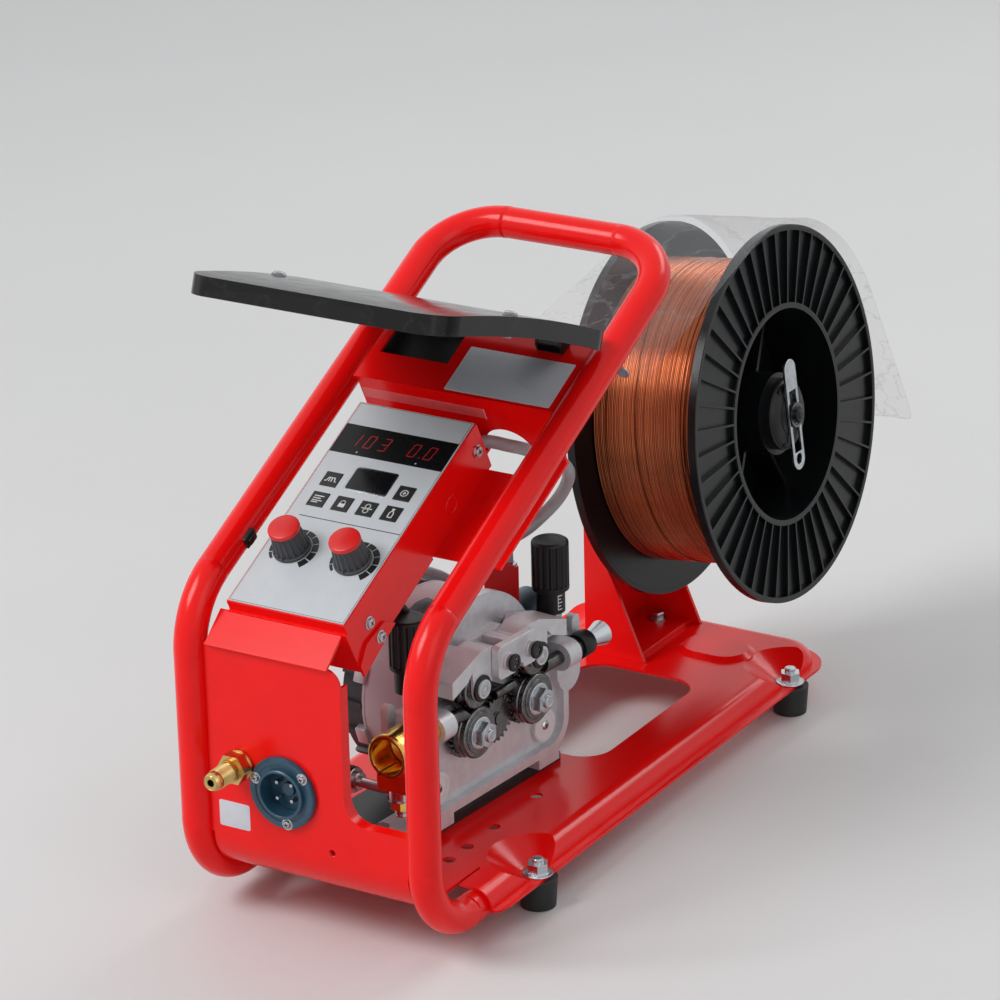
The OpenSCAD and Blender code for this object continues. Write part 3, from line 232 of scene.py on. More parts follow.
# ---------------------------------------------------------------- materials
RED = material("red_powder_coat", rgb(247, 14, 14), rgb(234, 11, 13), 0.2, 0.03, 30, 0.4, 380, 0.000008,
               Specular_IOR_Level=0.27)
SILVER_FILM = material("silver_membrane", rgb(205, 209, 213), rgb(194, 198, 203), 0.36, 0.08, 90, 0.4, 2400,
                       0.000012, metal=0.0)
WINDOW = material("dark_window", rgb(15, 16, 18), rgb(10, 10, 12), 0.28, 0.06, 120, 0.5, 1500, 0.000004,
                  Specular_IOR_Level=0.3)
ZINC = material("zinc_plate", rgb(196, 200, 204), rgb(140, 146, 152), 0.24, 0.16, 160, 0.6, 1400,
                0.00002, metal=1)
STEEL = material("gear_steel", rgb(122, 121, 120), rgb(74, 73, 74), 0.26, 0.2, 220, 0.7, 1700,
                 0.00002, metal=1)
BLACK = material("black_plastic", rgb(20, 21, 23), rgb(12, 12, 14), 0.4, 0.14, 140, 0.6, 1300, 0.00004,
                 Specular_IOR_Level=0.3)
KNOB = material("knob_plastic", rgb(66, 68, 72), rgb(48, 50, 54), 0.4, 0.14, 140, 0.6, 1500, 0.00003)
CAP_RED = material("cap_red", rgb(226, 34, 32), rgb(205, 24, 26), 0.34, 0.1, 180, 0.5, 1200, 0.00002)
CAST = material("cast_alloy", rgb(206, 208, 212), rgb(176, 178, 183), 0.4, 0.2, 130, 0.5, 1000,
                0.00012, metal=0.45)
CASTING = material("sand_cast_alloy", rgb(212, 213, 217), rgb(184, 186, 190), 0.42, 0.2, 110, 0.5, 800,
                   0.00016, metal=0.35)
MOTOR = material("motor_paint", rgb(196, 194, 200), rgb(178, 176, 184), 0.42, 0.12, 70, 0.5, 600, 0.00006)
MOTOR_END = material("motor_end_paint", rgb(52, 51, 58), rgb(34, 34, 40), 0.46, 0.14, 90, 0.6, 900, 0.00008)
WHITE = material("white_nylon", rgb(226, 228, 228), rgb(206, 208, 210), 0.34, 0.12, 150, 0.5, 1000, 0.00002,
                 Subsurface_Weight=0.25, Subsurface_Scale=0.003)
GOLD = material("gilt_brass", rgb(238, 194, 104), rgb(206, 152, 66), 0.2, 0.14, 120, 0.6, 900,
                0.00002, metal=1)
BRASS = material("turned_brass", rgb(214, 184, 122), rgb(172, 140, 82), 0.22, 0.14, 150, 0.6, 1500, 0.00002,
                 metal=1)
TEAL = material("teal_socket", rgb(36, 76, 98), rgb(24, 54, 72), 0.38, 0.14, 140, 0.6, 1100, 0.00003,
                Coat_Weight=0.2)
HOSE = material("grey_hose", rgb(168, 170, 172), rgb(140, 142, 146), 0.42, 0.12, 90, 0.6, 700, 0.00004)
SPOOL = material("spool_plastic", rgb(13, 15, 18), rgb(8, 9, 10), 0.3, 0.14, 70, 0.7, 520, 0.00005,
                 Specular_IOR_Level=0.32)
RUBBER = material("foot_rubber", rgb(28, 28, 28), rgb(16, 16, 16), 0.62, 0.2, 90, 0.6, 700, 0.00008)
FEET = material("foot_and_bolt", rgb(28, 28, 28), rgb(16, 16, 16), 0.62, 0.2, 90, 0.6, 700, 0.00005,
                over=above(BASE, 2, 22.9, rgb(196, 200, 204), 0.27, (0, 1)))
VALVE = material("valve_coil", rgb(26, 74, 92), rgb(16, 52, 68), 0.36, 0.14, 120, 0.6, 900, 0.00004,
                 over=above(BASE, 2, 156.4, rgb(206, 14, 16), 0.35))
GUIDES = material("guide_steel", rgb(96, 95, 94), rgb(62, 61, 62), 0.3, 0.2, 220, 0.7, 1700, 0.00002, metal=1,
                  over=above(DRIVE, 1, 95, rgb(196, 200, 204), 0.26, (1, 1)))
PRINT = material("black_print", rgb(26, 26, 28), rgb(16, 16, 18), 0.4, 0.1, 300, 0.5, 2200, 0.00001)
WHITE_PRINT = material("white_print", rgb(226, 226, 224), rgb(206, 206, 206), 0.45, 0.1, 300, 0.5, 2200,
                       0.00001)
LABEL = material("bare_label", rgb(208, 211, 218), rgb(198, 201, 209), 0.34, 0.1, 120, 0.4, 1800, 0.00001)
# Pale pink for a band on the tray's drop: painted highlight
TRAY_HIGHLIGHT = material("painted_tray_highlight", rgb(238, 112, 114), rgb(226, 84, 86), 0.4, 0.1, 160, 0.6, 1500, 0.00002)
LIT = material("lit_segment", rgb(150, 16, 14), rgb(120, 10, 10), 0.4, 0.1, 300, 0.5, 2000, 0.00001,
               Emission_Color=rgb(230, 34, 26), Emission_Strength=0.07)
# Dark dull steel that fills the torch tube's slit: painted shade in the gap
SLIT_SHADE = material("painted_slit_shade", rgb(92, 90, 90), rgb(60, 60, 62), 0.3, 0.2, 200, 0.6, 1500, 0.00002, metal=1)
LOOM = material("braided_loom", rgb(46, 42, 50), rgb(24, 22, 28), 0.6, 0.2, 500, 0.8, 2600, 0.0002)
CLEAR = material("clear_rubber", rgb(222, 226, 228), rgb(200, 204, 208), 0.16, 0.1, 160, 0.4, 900, 0.00001,
                 Transmission_Weight=0.75, IOR=1.42)


def strand_tone(net, colour, rough):
    """Turns of wire differ a little in tone across the spool."""
    x = place_axis(net, HUB, 0)
    bands = net.add("ShaderNodeTexNoise", {"W": x, "Scale": 0.62, "Detail": 6.0, "Roughness": 0.8},
                    noise_dimensions="1D").outputs["Fac"]
    return {"Base Color": net.mix(net.ramp(bands, 0.42, 0.66), colour, rgb(118, 62, 38)),
            "Roughness": net.ramp(bands, 0.3, 0.7, 0.2, 0.36)}


COPPER = material("copper_wire", rgb(198, 116, 78), rgb(160, 86, 56), 0.26, 0.1, 60, 0.5, 1500, 0.00001,
                  metal=1, over=strand_tone)
# Darker copy of the copper for the crossing strands: painted shade
COPPER_PAINTED_SHADE = material("copper_in_shade", rgb(120, 62, 38), rgb(84, 42, 26), 0.3, 0.12, 60, 0.5, 1500,
                       0.00001, metal=1)


def clear_material(name, tint, alpha, rough, haze, specular):
    """Thin clear plastic: a sheet seen through, faintly tinted, with painted reflection along thin wrinkle
    streaks and at grazing angles that hides what is behind.
    """
    m = bpy.data.materials.new(name)
    m.use_nodes = True
    net = Net(m.node_tree)
    bsdf = m.node_tree.nodes["Principled BSDF"]
    place = net.add("ShaderNodeTexCoord", {}).outputs["Object"]
    fold = net.math("ABSOLUTE", net.math("SUBTRACT", net.noise(place, 21, 4, 0.6), 0.5))
    # haze sets how strongly thin streaks along the wrinkles turn pale and more opaque: painted reflection
    wrinkle_glint = net.math("MULTIPLY", net.math("POWER", net.ramp(fold, 0, 0.03, 1, 0), 3), haze)
    # More opacity in the pale tint at grazing angles: painted reflection
    edge = net.add("ShaderNodeLayerWeight", {"Blend": 0.3}).outputs["Facing"]
    edge = net.math("MULTIPLY", net.math("POWER", edge, 3), 0.5)
    m.node_tree.links.new(net.math("ADD", net.math("ADD", wrinkle_glint, edge), alpha), bsdf.inputs["Alpha"])
    cloud = net.noise(place, 55, 4)
    m.node_tree.links.new(net.ramp(cloud, 0.3, 0.7, rough, rough + 0.1), bsdf.inputs["Roughness"])
    m.node_tree.links.new(net.mix(wrinkle_glint, tint, rgb(200, 202, 204)), bsdf.inputs["Base Color"])
    bump = net.add("ShaderNodeBump", {"Strength": 0.6, "Distance": 0.0004, "Height": net.noise(place, 26, 3)})
    m.node_tree.links.new(bump.outputs[0], bsdf.inputs["Normal"])
    bsdf.inputs["IOR"].default_value = 1.5
    bsdf.inputs["Specular IOR Level"].default_value = specular
    return m


FILM = clear_material("clear_film", rgb(190, 194, 198), 0.045, 0.08, 0.1, 0.5)
SMOKED = clear_material("smoked_plastic", rgb(3, 3, 4), 0.93, 0.1, 0.02, 0.3)


# ---------------------------------------------------------------- dressing of the CAD nodes
def dress(names, mat, bevel=0.35, weld=0.012, segments=2, angle=30):
    """Gives CAD nodes their material, small edge radii and clean shading. Sizes in millimetres."""
    for name in names.split():
        o = nodes[name]
        for s in o.material_slots:
            s.material = mat
        o.data.polygons.foreach_set("use_smooth", [True] * len(o.data.polygons))
        m = o.modifiers.new("weld", "WELD")
        m.merge_threshold = weld / 1000
        m = o.modifiers.new("faces", "DECIMATE")
        m.decimate_type = "DISSOLVE"
        m.angle_limit = math.radians(0.4)
        if bevel:
            m = o.modifiers.new("edges", "BEVEL")
            m.width = bevel / 1000
            m.segments = segments
            m.limit_method = "ANGLE"
            m.angle_limit = math.radians(angle)
        m = o.modifiers.new("shading", "WEIGHTED_NORMAL")
        m.weight = 60
        m.keep_sharp = False


dress("tube_frame", RED, 0, 0.25)
dress("chassis_pan", RED, 0.7)
dress("box_bracket upper_tray spool_bracket", RED, 0.5)
dress("control_box", RED, 0.9, segments=3)
dress("control_panel", SILVER_FILM, 0.15)
dress("display_windows", WINDOW, 0.15)
dress("dial_pots box_screws drive_bolts front_roll_nut rear_roll_nut spool_latch clamp_lever", ZINC, 0.3)
dress("amps_dial volts_dial", KNOB, 0.25)
dress("key_1 key_2 key_3 key_4 key_5 key_6", PRINT, 0.25)
dress("visor", SMOKED, 0.6, segments=3)
dress("visor_bumpers", CLEAR, 0.6, segments=3)
dress("visor_hinges insulating_plate front_tension_knob rear_tension_knob hub_drum", BLACK, 0.4)
dress("drive_casting arm_bridge front_arm rear_arm", CASTING, 0.9, segments=3)
dress("gear_housing", CAST, 0.7)
dress("motor_body", MOTOR, 1.0, segments=3)
dress("motor_end_ring", MOTOR_END, 0.8)
dress("cap_discs", WHITE, 0.5)
dress("pinion front_drive_gear rear_drive_gear front_drive_roll rear_drive_roll front_pressure_roll "
      "rear_pressure_roll front_tension_rod rear_tension_rod hub_spindle", STEEL, 0.25)
dress("wire_guides", GUIDES, 0.3)
dress("torch_connector", GOLD, 0.5)
dress("gas_nipple", BRASS, 0.4)
dress("panel_socket", TEAL, 0.6)
dress("gas_valve", VALVE, 0.5)
dress("spool", SPOOL, 0.4)
dress("wire_core", COPPER, 0.3)
dress("feet", FEET, 0.5)


# ---------------------------------------------------------------- mesh helpers
class Part:
    """Collects shapes, each made in millimetres in its own frame, into one piece."""
    def __init__(self):
        self.bm = bmesh.new()
        self.slot = 0

    def put(self, t, m, bevel=0, segments=2):
        bmesh.ops.remove_doubles(t, verts=t.verts, dist=0.002)
        if bevel:
            bmesh.ops.recalc_face_normals(t, faces=t.faces)
            edges = [e for e in t.edges if len(e.link_faces) == 2 and e.calc_face_angle(0) > 0.6]
            bmesh.ops.bevel(t, geom=edges, offset=bevel, segments=segments, profile=0.5,
                            affect="EDGES", material=-1)
        for f in t.faces:
            f.material_index = self.slot
        t.transform(m)
        held = bpy.data.meshes.new("held")
        t.to_mesh(held)
        t.free()
        self.bm.from_mesh(held)
        bpy.data.meshes.remove(held)

    def lathe(self, m, profile, seg=40, bevel=0):
        """Profile of (radius, height) pairs turned about local Z."""
        t = bmesh.new()
        vs = [t.verts.new((r, 0, z)) for r, z in profile]
        es = [t.edges.new(p) for p in zip(vs, vs[1:])]
        bmesh.ops.spin(t, geom=vs + es, cent=(0, 0, 0), axis=(0, 0, 1), angle=2 * math.pi,
                       steps=seg, use_merge=True)
        self.put(t, m, bevel)

    def prism(self, m, outline, z0, z1, bevel=0):
        t = bmesh.new()
        f = t.faces.new([t.verts.new((x, y, z0)) for x, y in outline])
        out = bmesh.ops.extrude_face_region(t, geom=[f], use_keep_orig=True)
        top = [v for v in out["geom"] if isinstance(v, bmesh.types.BMVert)]
        bmesh.ops.translate(t, verts=top, vec=(0, 0, z1 - z0))
        self.put(t, m, bevel)

    def box(self, m, a, b, bevel=0):
        self.prism(m, [(a[0], a[1]), (b[0], a[1]), (b[0], b[1]), (a[0], b[1])], a[2], b[2], bevel)

    def hexagon(self, m, af, z0, z1, turn=0, bevel=0.4):
        r = af / 2 / math.cos(math.pi / 6)
        self.prism(m, [(r * math.cos(a), r * math.sin(a)) for a in
                       (math.radians(turn + 60 * i) for i in range(6))], z0, z1, bevel)

    def strokes(self, m, lines, width, z0, z1):
        """Straight strokes along polylines of (x, y) points."""
        for line in lines:
            for a, b in zip(line, line[1:]):
                a, b = Vector(a), Vector(b)
                d = (b - a).normalized() * width / 2
                n = Vector((-d.y, d.x))
                self.prism(m, [a - d - n, b + d - n, b + d + n, a - d + n], z0, z1)

    def done(self, name, mats, body="frame", smooth=32):
        bm = self.bm
        bmesh.ops.recalc_face_normals(bm, faces=bm.faces)
        for f in bm.faces:
            f.smooth = True
        for e in bm.edges:
            if len(e.link_faces) == 2 and e.calc_face_angle(0) > math.radians(smooth):
                e.smooth = False
        mesh = bpy.data.meshes.new(name)
        bm.to_mesh(mesh)
        bm.free()
        o = bpy.data.objects.new(name, mesh)
        bpy.context.scene.collection.objects.link(o)
        for mat in (mats if isinstance(mats, (list, tuple)) else [mats]):
            mesh.materials.append(mat)
        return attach(o, body)


def ring_face(r0, r1, z0, z1):
    """Closed profile of a flat ring."""
    return [(r0, z0), (r1, z0), (r1, z1), (r0, z1), (r0, z0)]


def rounded(w, h, r, n=6):
    out = []
    for i, (cx, cy) in enumerate(((w / 2 - r, h / 2 - r), (r - w / 2, h / 2 - r),
                                  (r - w / 2, r - h / 2), (w / 2 - r, r - h / 2))):
        for k in range(n + 1):
            a = math.pi / 2 * (i + k / n)
            out.append((cx + r * math.cos(a), cy + r * math.sin(a)))
    return out


def spline(p, n):
    out = []
    for i in range(len(p) - 1):
        a, b, c, d = (Vector(p[max(min(k, len(p) - 1), 0)]) for k in (i - 1, i, i + 1, i + 2))
        for k in range(n):
            t = k / n
            out.append(0.5 * (2 * b + (c - a) * t + (2 * a - 5 * b + 4 * c - d) * t * t
                              + (3 * b - a - 3 * c + d) * t ** 3))
    return out + [Vector(p[-1])]


def wire(name, m, paths, r, mat, body="frame", sides=4):
    """Round wires along paths of points, as one curve object."""
    data = bpy.data.curves.new(name, "CURVE")
    data.dimensions = "3D"
    data.bevel_depth = r / 1000
    data.bevel_resolution = sides
    data.use_fill_caps = True
    for path in paths:
        s = data.splines.new("POLY")
        s.points.add(len(path) - 1)
        for q, p in zip(s.points, path):
            q.co = (*(m @ Vector(p)), 1)
        s.use_smooth = True
    o = bpy.data.objects.new(name, data)
    bpy.context.scene.collection.objects.link(o)
    data.materials.append(mat)
    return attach(o, body)


def cross_head(part, m, r, z):
    """Pan head with a cross slot drawn as two black bars of painted shade, on slots 0 and 1."""
    part.slot = 0
    part.lathe(m, [(0, z), (r, z), (r, z + 0.9), (r * 0.9, z + 1.5), (r * 0.62, z + 1.95),
                   (r * 0.5, z + 2.05), (0, z + 2.05)], 28)
    # Black bars for the cross recess: painted shade
    part.slot = 1
    for q in (0, 90):
        c = m @ Matrix.Rotation(math.radians(q + 20), 4, "Z")
        part.box(c, (-r * 0.52, -r * 0.12, z + 1.7), (r * 0.52, r * 0.12, z + 2.1))
    part.slot = 0


# ---------------------------------------------------------------- control panel
BOX_X, BOX_W, BOX_TOP = -67, 91, -4    # left side, width and face of the control box
MID = BOX_X + BOX_W / 2
FACE = BOX_TOP + 1                 # face of the membrane
GLASS = BOX_TOP + 1.2              # face of the dark windows
DIALS = ((MID - 23.5, "amps"), (MID + 23.5, "volts"))
DIAL_S = 65
SCALE_R = 13.9                     # inner radius of the dials' printed scales

SEGMENTS = {"a": ((-1, 2), (1, 2)), "b": ((1, 2), (1, 0)), "c": ((1, 0), (1, -2)), "d": ((-1, -2), (1, -2)),
            "e": ((-1, 0), (-1, -2)), "f": ((-1, 2), (-1, 0)), "g": ((-1, 0), (1, 0))}
DIGITS = {"0": "abcdef", "1": "bc", "3": "abcdg"}


def digits():
    """Lit numbers behind the dark window, slanted as such displays are."""
    p = Part()
    for text, x in (("1", -51), ("0", -40), ("3", -28.5), ("0", -5.5), ("0", 7)):
        for key in DIGITS[text]:
            (x0, y0), (x1, y1) = SEGMENTS[key]
            pts = [Vector((2.5 * q[0] + 0.42 * q[1], 2.75 * q[1])) for q in ((x0, y0), (x1, y1))]
            d = (pts[1] - pts[0]) * 0.1
            p.strokes(at(SLOPE, x, 165, 0), [(pts[0] + d, pts[1] - d)], 0.85, GLASS - 0.02, GLASS + 0.05)
    p.lathe(at(SLOPE, 0.6, 160, 0), [(0, GLASS), (0.6, GLASS), (0.6, GLASS + 0.05), (0, GLASS + 0.05)], 12)
    p.done("display_digits", LIT)


def panel_print():
    p = Part()
    z0, z1 = FACE - 0.02, FACE + 0.08
    p.box(SLOPE, (BOX_X + 11, 93.6, z0), (BOX_X + BOX_W - 2, 94.2, z1))
    # Scale of each dial: segments that widen as the value rises
    for x, _ in DIALS:
        m = at(SLOPE, x, DIAL_S, 0)
        n = 11
        for i in range(n):
            a0 = math.radians(228 - 276 * i / n - 1.2)
            a1 = math.radians(228 - 276 * (i + 1) / n + 1.2)
            w0, w1 = 1.9 + 3.3 * i / n, 1.9 + 3.3 * (i + 1) / n
            ring = []
            for k in range(5):
                a = a0 + (a1 - a0) * k / 4
                ring.append((SCALE_R * math.cos(a), SCALE_R * math.sin(a)))
            for k in range(4, -1, -1):
                a = a0 + (a1 - a0) * k / 4
                r = SCALE_R + w0 + (w1 - w0) * k / 4
                ring.append((r * math.cos(a), r * math.sin(a)))
            p.prism(m, ring, z0, z1)
    # Hairline round the membrane
    for a, b in (((-65.4, 14.6), (22.4, 14.9)), ((-65.4, 197.1), (22.4, 197.4)),
                 ((-65.4, 14.6), (-65.1, 197.4)), ((22.1, 14.6), (22.4, 197.4))):
        p.box(SLOPE, (*a, z0), (*b, FACE + 0.03))
    p.done("panel_print", PRINT)
    q = Part()
    rim = rounded(33.4, 21.4, 2)
    q.prism(at(SLOPE, MID, 132.5, 0), rim, FACE - 0.03, FACE + 0.25, 0.1)
    q.slot = 1
    q.prism(at(SLOPE, MID, 132.5, 0), rounded(31, 19, 1.5), FACE, FACE + 0.32, 0.05)
    q.done("lcd_rim", [ZINC, WINDOW])
    w = Part()
    for x in (-45, 1):
        w.prism(at(SLOPE, x, 154.6, 0), [(-0.7, -0.5), (0.7, -0.5), (0.2, 0.9)], GLASS, GLASS + 0.05)
    w.done("display_ticks", WHITE_PRINT)


def circle(cx, cy, r, n=16, a0=0, a1=360):
    return [(cx + r * math.cos(math.radians(a0 + (a1 - a0) * k / n)),
             cy + r * math.sin(math.radians(a0 + (a1 - a0) * k / n))) for k in range(n + 1)]


KEYS = ((-28.5, 128), (28.5, 128), (-28.5, 109.5), (-9.5, 109.5), (9.5, 109.5), (28.5, 109.5))
ICONS = (
    [[(-4, -2), (-3, -2), (-2, 1.2), (-1, 1.2), (-1, -2)], [(-1, 1.2), (0.8, 1.2), (0.8, -2)],
     [(0.8, 1.2), (2.6, 1.2), (3.4, -2), (4.2, -2)]],
    [circle(0, 0, 2.6, 14), [(-1, 0), (1, 0)], [(0, -1), (0, 1)]],
    [[(-3.6, 2.6), (3.2, 2.6)], [(-3.6, 0.6), (1.4, 0.6)], [(-3.6, -1.4), (3.2, -1.4)],
     [(-3.6, -3), (0.6, -3)]],
    [circle(0, 0.9, 1.7, 10, 0, 180), [(-1.7, 0.9), (-1.7, 0)], [(1.7, 0.9), (1.7, 0)],
     [(-2, -0.4), (2, -0.4)], [(-2, -1.2), (2, -1.2)], [(-2, -2), (2, -2)], [(-2, -2.8), (2, -2.8)]],
    [circle(0, 1.9, 1.8, 14), circle(0, -2.1, 1.8, 14), [(-3.8, -0.1), (3.8, -0.1)]],
    [[(-1.5, -3.6), (1.5, -3.6), (1.5, 0.4), (0.5, 1.8), (0.5, 3), (-0.5, 3), (-0.5, 1.8), (-1.5, 0.4),
      (-1.5, -3.6)], [(-0.8, 3.8), (0.8, 3.8)]],
)


def key_marks():
    for i, ((x, s), lines) in enumerate(zip(KEYS, ICONS)):
        p = Part()
        p.strokes(at(SLOPE, MID + x, s, BOX_TOP + 1.5), lines, 0.75, -0.03, 0.06)
        p.done(f"key_mark_{i + 1}", WHITE_PRINT, f"key_{i + 1}")


def dial_caps():
    for x, body in DIALS:
        p = Part()
        top = BOX_TOP + 1.4 + 21
        p.lathe(at(SLOPE, x, DIAL_S, top), [(9.6, -3), (10.85, -3), (10.85, -0.9), (10.5, -0.2), (9.8, 0.1),
                                            (0, 0.15)], 56)
        p.done(f"{body}_cap", CAP_RED, body)
        q = Part()
        m = at(SLOPE, x, DIAL_S, BOX_TOP + 1.45)
        q.lathe(m, [(10.5, 0), (13.1, 0), (13.1, 1.3), (12.4, 2.2), (10.5, 2.4)], 56)
        # Pointer rib down the skirt
        q.prism(facing(m, 0, 0, 0, (0, 0, 1)), [(-0.7, 11.9), (0.7, 11.9), (0.7, 13.3), (-0.7, 13.3)],
                0.5, 3.2, 0.2)
        q.done(f"{body}_skirt", KNOB, body)
        t = Part()
        t.prism(m, [(-0.35, 12.2), (0.35, 12.2), (0.35, 13.42), (-0.35, 13.42)], 0.6, 3.3)
        t.done(f"{body}_pointer", WHITE_PRINT, body)


digits()
panel_print()
key_marks()
dial_caps()


# ---------------------------------------------------------------- screws and labels of the box and tray
def box_fittings():
    p = Part()
    for s, h, x in ((190, -21.4, 24), (35, -24, 24), (38, -40, 26)):
        m = facing(SLOPE, x, s, h, (1, 0, 0))
        p.lathe(m, [(3.4, 0), (4.6, 0), (4.6, 0.5), (3.6, 0.9), (3.4, 0.9)], 30)
        cross_head(p, m, 3.55, 0.6)
    p.done("box_screw_heads", [ZINC, BLACK])
    g = Part()
    m = facing(SLOPE, 24, 148, -30, (1, 0, 0))
    g.lathe(m, [(5.6, -0.2), (7.3, -0.2), (7.3, 0.3), (6.6, 0.7), (5.9, 0.5), (5.6, 0.1), (0, 0)], 40)
    g.done("box_plug", RED)
    c = Part()
    c.box(SLOPE, (-80, 58, -4), (-75.2, 70, 4.5), 0.9)
    c.box(SLOPE, (-76, 60, -2.4), (-73.6, 68, 2.6), 0.7)
    c.done("side_clip", BLACK)


def labels():
    # Bare nameplate on the tray and bare label by the nipple; on the tray's drop, a pale band and a white
    # line at its end are painted highlight
    p = Part()
    p.prism(at(SLOPE, 33, 236, 0), rounded(81, 41, 1), 4.98, 5.3, 0.08)
    p.done("nameplate", LABEL)
    q = Part()
    q.prism(facing(BASE, -58, -1, 80.5, (0, -1, 0)), rounded(24, 18.5, 1.6), -0.02, 0.22, 0.06)
    q.done("bare_sticker", LABEL)
    # Pale pink band across the tray's drop: painted highlight on the red paint
    s = Part()
    s.box(SLOPE, (-74, 212.8, -13.8), (21, 213.05, -5))
    s.done("painted_highlight_band", TRAY_HIGHLIGHT)
    # White line at the band's end: painted glint on the tray's corner
    w = Part()
    w.box(SLOPE, (21.4, 212.7, -14.3), (21.9, 213.05, -5))
    w.done("painted_edge_glint", WHITE_PRINT)
    # Black tray sunk under the opening in the top plate
    t = Part()
    x0, x1, s0, s1, low, top = -71, -15.6, 237, 277, -9, 2.9
    for a, b in (((x0, s0, low), (x1, s1, low + 1)), ((x0, s0, low), (x0 + 1, s1, top)),
                 ((x1 - 1, s0, low), (x1, s1, top)), ((x0, s0, low), (x1, s0 + 1, top)),
                 ((x0, s1 - 1, low), (x1, s1, top))):
        t.box(SLOPE, a, b)
    t.done("tray_pocket", RUBBER)


box_fittings()
labels()


# ---------------------------------------------------------------- front panel fittings
SOCKET_X, SOCKET_Z = -18, 106
NIPPLE_X, NIPPLE_Z = -51.3, 119
SCREW_RING, PIN_RING = 21.3, 8     # radii of the socket's screws and pins


def front_fittings():
    p = Part()
    for a in (80, 200, 320):
        r = math.radians(a)
        m = facing(BASE, SOCKET_X + SCREW_RING * math.cos(r), -4, SOCKET_Z - SCREW_RING * math.sin(r),
                   (0, -1, 0))
        p.lathe(m, [(2.4, 0), (4.1, 0), (4.1, 0.6), (2.6, 0.7)], 26)
        cross_head(p, m, 2.9, 0.3)
    for a in (45, 135, 225, 315):
        r = math.radians(a)
        m = facing(BASE, SOCKET_X + PIN_RING * math.cos(r), 0, SOCKET_Z - PIN_RING * math.sin(r), (0, -1, 0))
        p.lathe(m, [(0, -5), (1.75, -5), (1.75, 0.6), (1.2, 1.6), (0, 1.9)], 18)
    p.done("socket_screws_and_pins", [ZINC, BLACK])
    q = Part()
    m = facing(BASE, SOCKET_X, 0, SOCKET_Z, (0, -1, 0))
    q.lathe(m, ring_face(20.2, 24.4, 3.9, 4.5), 56, 0.2)
    q.lathe(m, [(15, 2), (17.2, 2), (17.2, 6.9), (16.6, 7.4), (15.4, 7.4), (15, 6.9), (15, 2)], 56)
    q.lathe(m, [(0, -5.9), (14.9, -5.9), (14.9, -5.2), (5, -5.2), (4.4, -3.2), (0, -3.2)], 40)
    q.done("socket_rims", TEAL)
    # Thread, chamfers and bright cone of the gas nipple
    n = Part()
    m = facing(BASE, NIPPLE_X, 0, NIPPLE_Z, (0, -1, 0))
    thread = [(5.6, 17.6)]
    z = 17.6
    while z < 29:
        thread += [(6.55, z + 0.2), (6.95, z + 0.75), (6.55, z + 1.3)]
        z += 1.4
    n.lathe(m, thread + [(5.6, z)], 40)
    n.lathe(m, [(2.6, 27), (3.4, 35.2), (5, 36.2), (5.9, 35.2), (6.7, 31.2), (6.4, 30.6)], 40)
    n.lathe(m, ring_face(6.6, 9.9, 1.2, 4.3), 44, 0.4)
    n.done("nipple_thread", BRASS)
    c = Part()
    m = facing(BASE, NIPPLE_X, 26, NIPPLE_Z, (0, 1, 0))
    c.lathe(m, [(4.6, 0), (5.5, 0), (5.6, 0.6), (5.6, 8), (5.4, 8.6), (4.6, 8.6)], 30)
    c.box(m, (-2.4, 5.2, 1.5), (2.4, 8, 7), 0.5)
    c.done("hose_clip_front", ZINC)


ROLL_V, ROLL_Z, GROOVE_X = 33.5, 105, 29    # drive rolls' axes, and the plane of the wire
PRESS_Z = 138                          # height of the pressure rolls' axes
WIRE_Z = 123                           # height of the wire's line
MOUTH_V, CLAMP_V = -130.5, -116.5      # torch tube's mouth and its clamp bolt


def torch_fittings():
    # Rolled lip, slit and lining of the torch tube
    p = Part()
    m = facing(DRIVE, GROOVE_X, MOUTH_V, WIRE_Z, (0, -1, 0))
    p.lathe(m, [(12.25, -6), (12.35, -0.8), (12.9, 0.1), (14.4, 0.35), (15.4, -0.2), (15.75, -1.4),
                (15.6, -3), (15.52, -8)], 64)
    p.lathe(m, [(0.8, -22.8), (6.5, -22.8), (9.5, -22.2), (12.2, -21), (12.2, -6)], 48)
    p.done("torch_mouth", GOLD)
    # The slit is filled with dark dull steel: painted shade in the gap of the tube's wall
    s = Part()
    s.box(m @ Matrix.Rotation(math.radians(-115), 4, "Z"),
          (12, -0.45, -16), (15.85, 0.45, 0.45))
    s.done("torch_slit", SLIT_SHADE)
    # Black sleeve on the lever's end, and the nut stack on the clamp bolt
    g = Part()
    m = facing(DRIVE, GROOVE_X, CLAMP_V, 92, (-1, 0, 0))
    g.lathe(m, [(0, 46.6), (7.6, 46.6), (8.9, 45.6), (9.1, 44), (9.1, 39), (8.4, 37.8), (3.6, 37.6)], 40)
    g.done("lever_grip", BLACK, "clamp")
    z = Part()
    m = at(DRIVE, GROOVE_X, CLAMP_V, 0)
    z.lathe(m, [(4, 88.3), (9.4, 88.3), (9.4, 88.8), (4, 88.95)], 36)
    z.lathe(m, [(3.9, 76), (4.4, 76.6), (4.4, 77.3), (4, 77.7), (4.4, 78.2), (4.4, 79), (4, 79.4), (4.4, 80),
                (4.4, 80.8), (4, 81.2)], 24)
    z.done("clamp_stack", ZINC)


front_fittings()
torch_fittings()


# ---------------------------------------------------------------- wire drive
ENDS = ((-1, "front"), (1, "rear"))


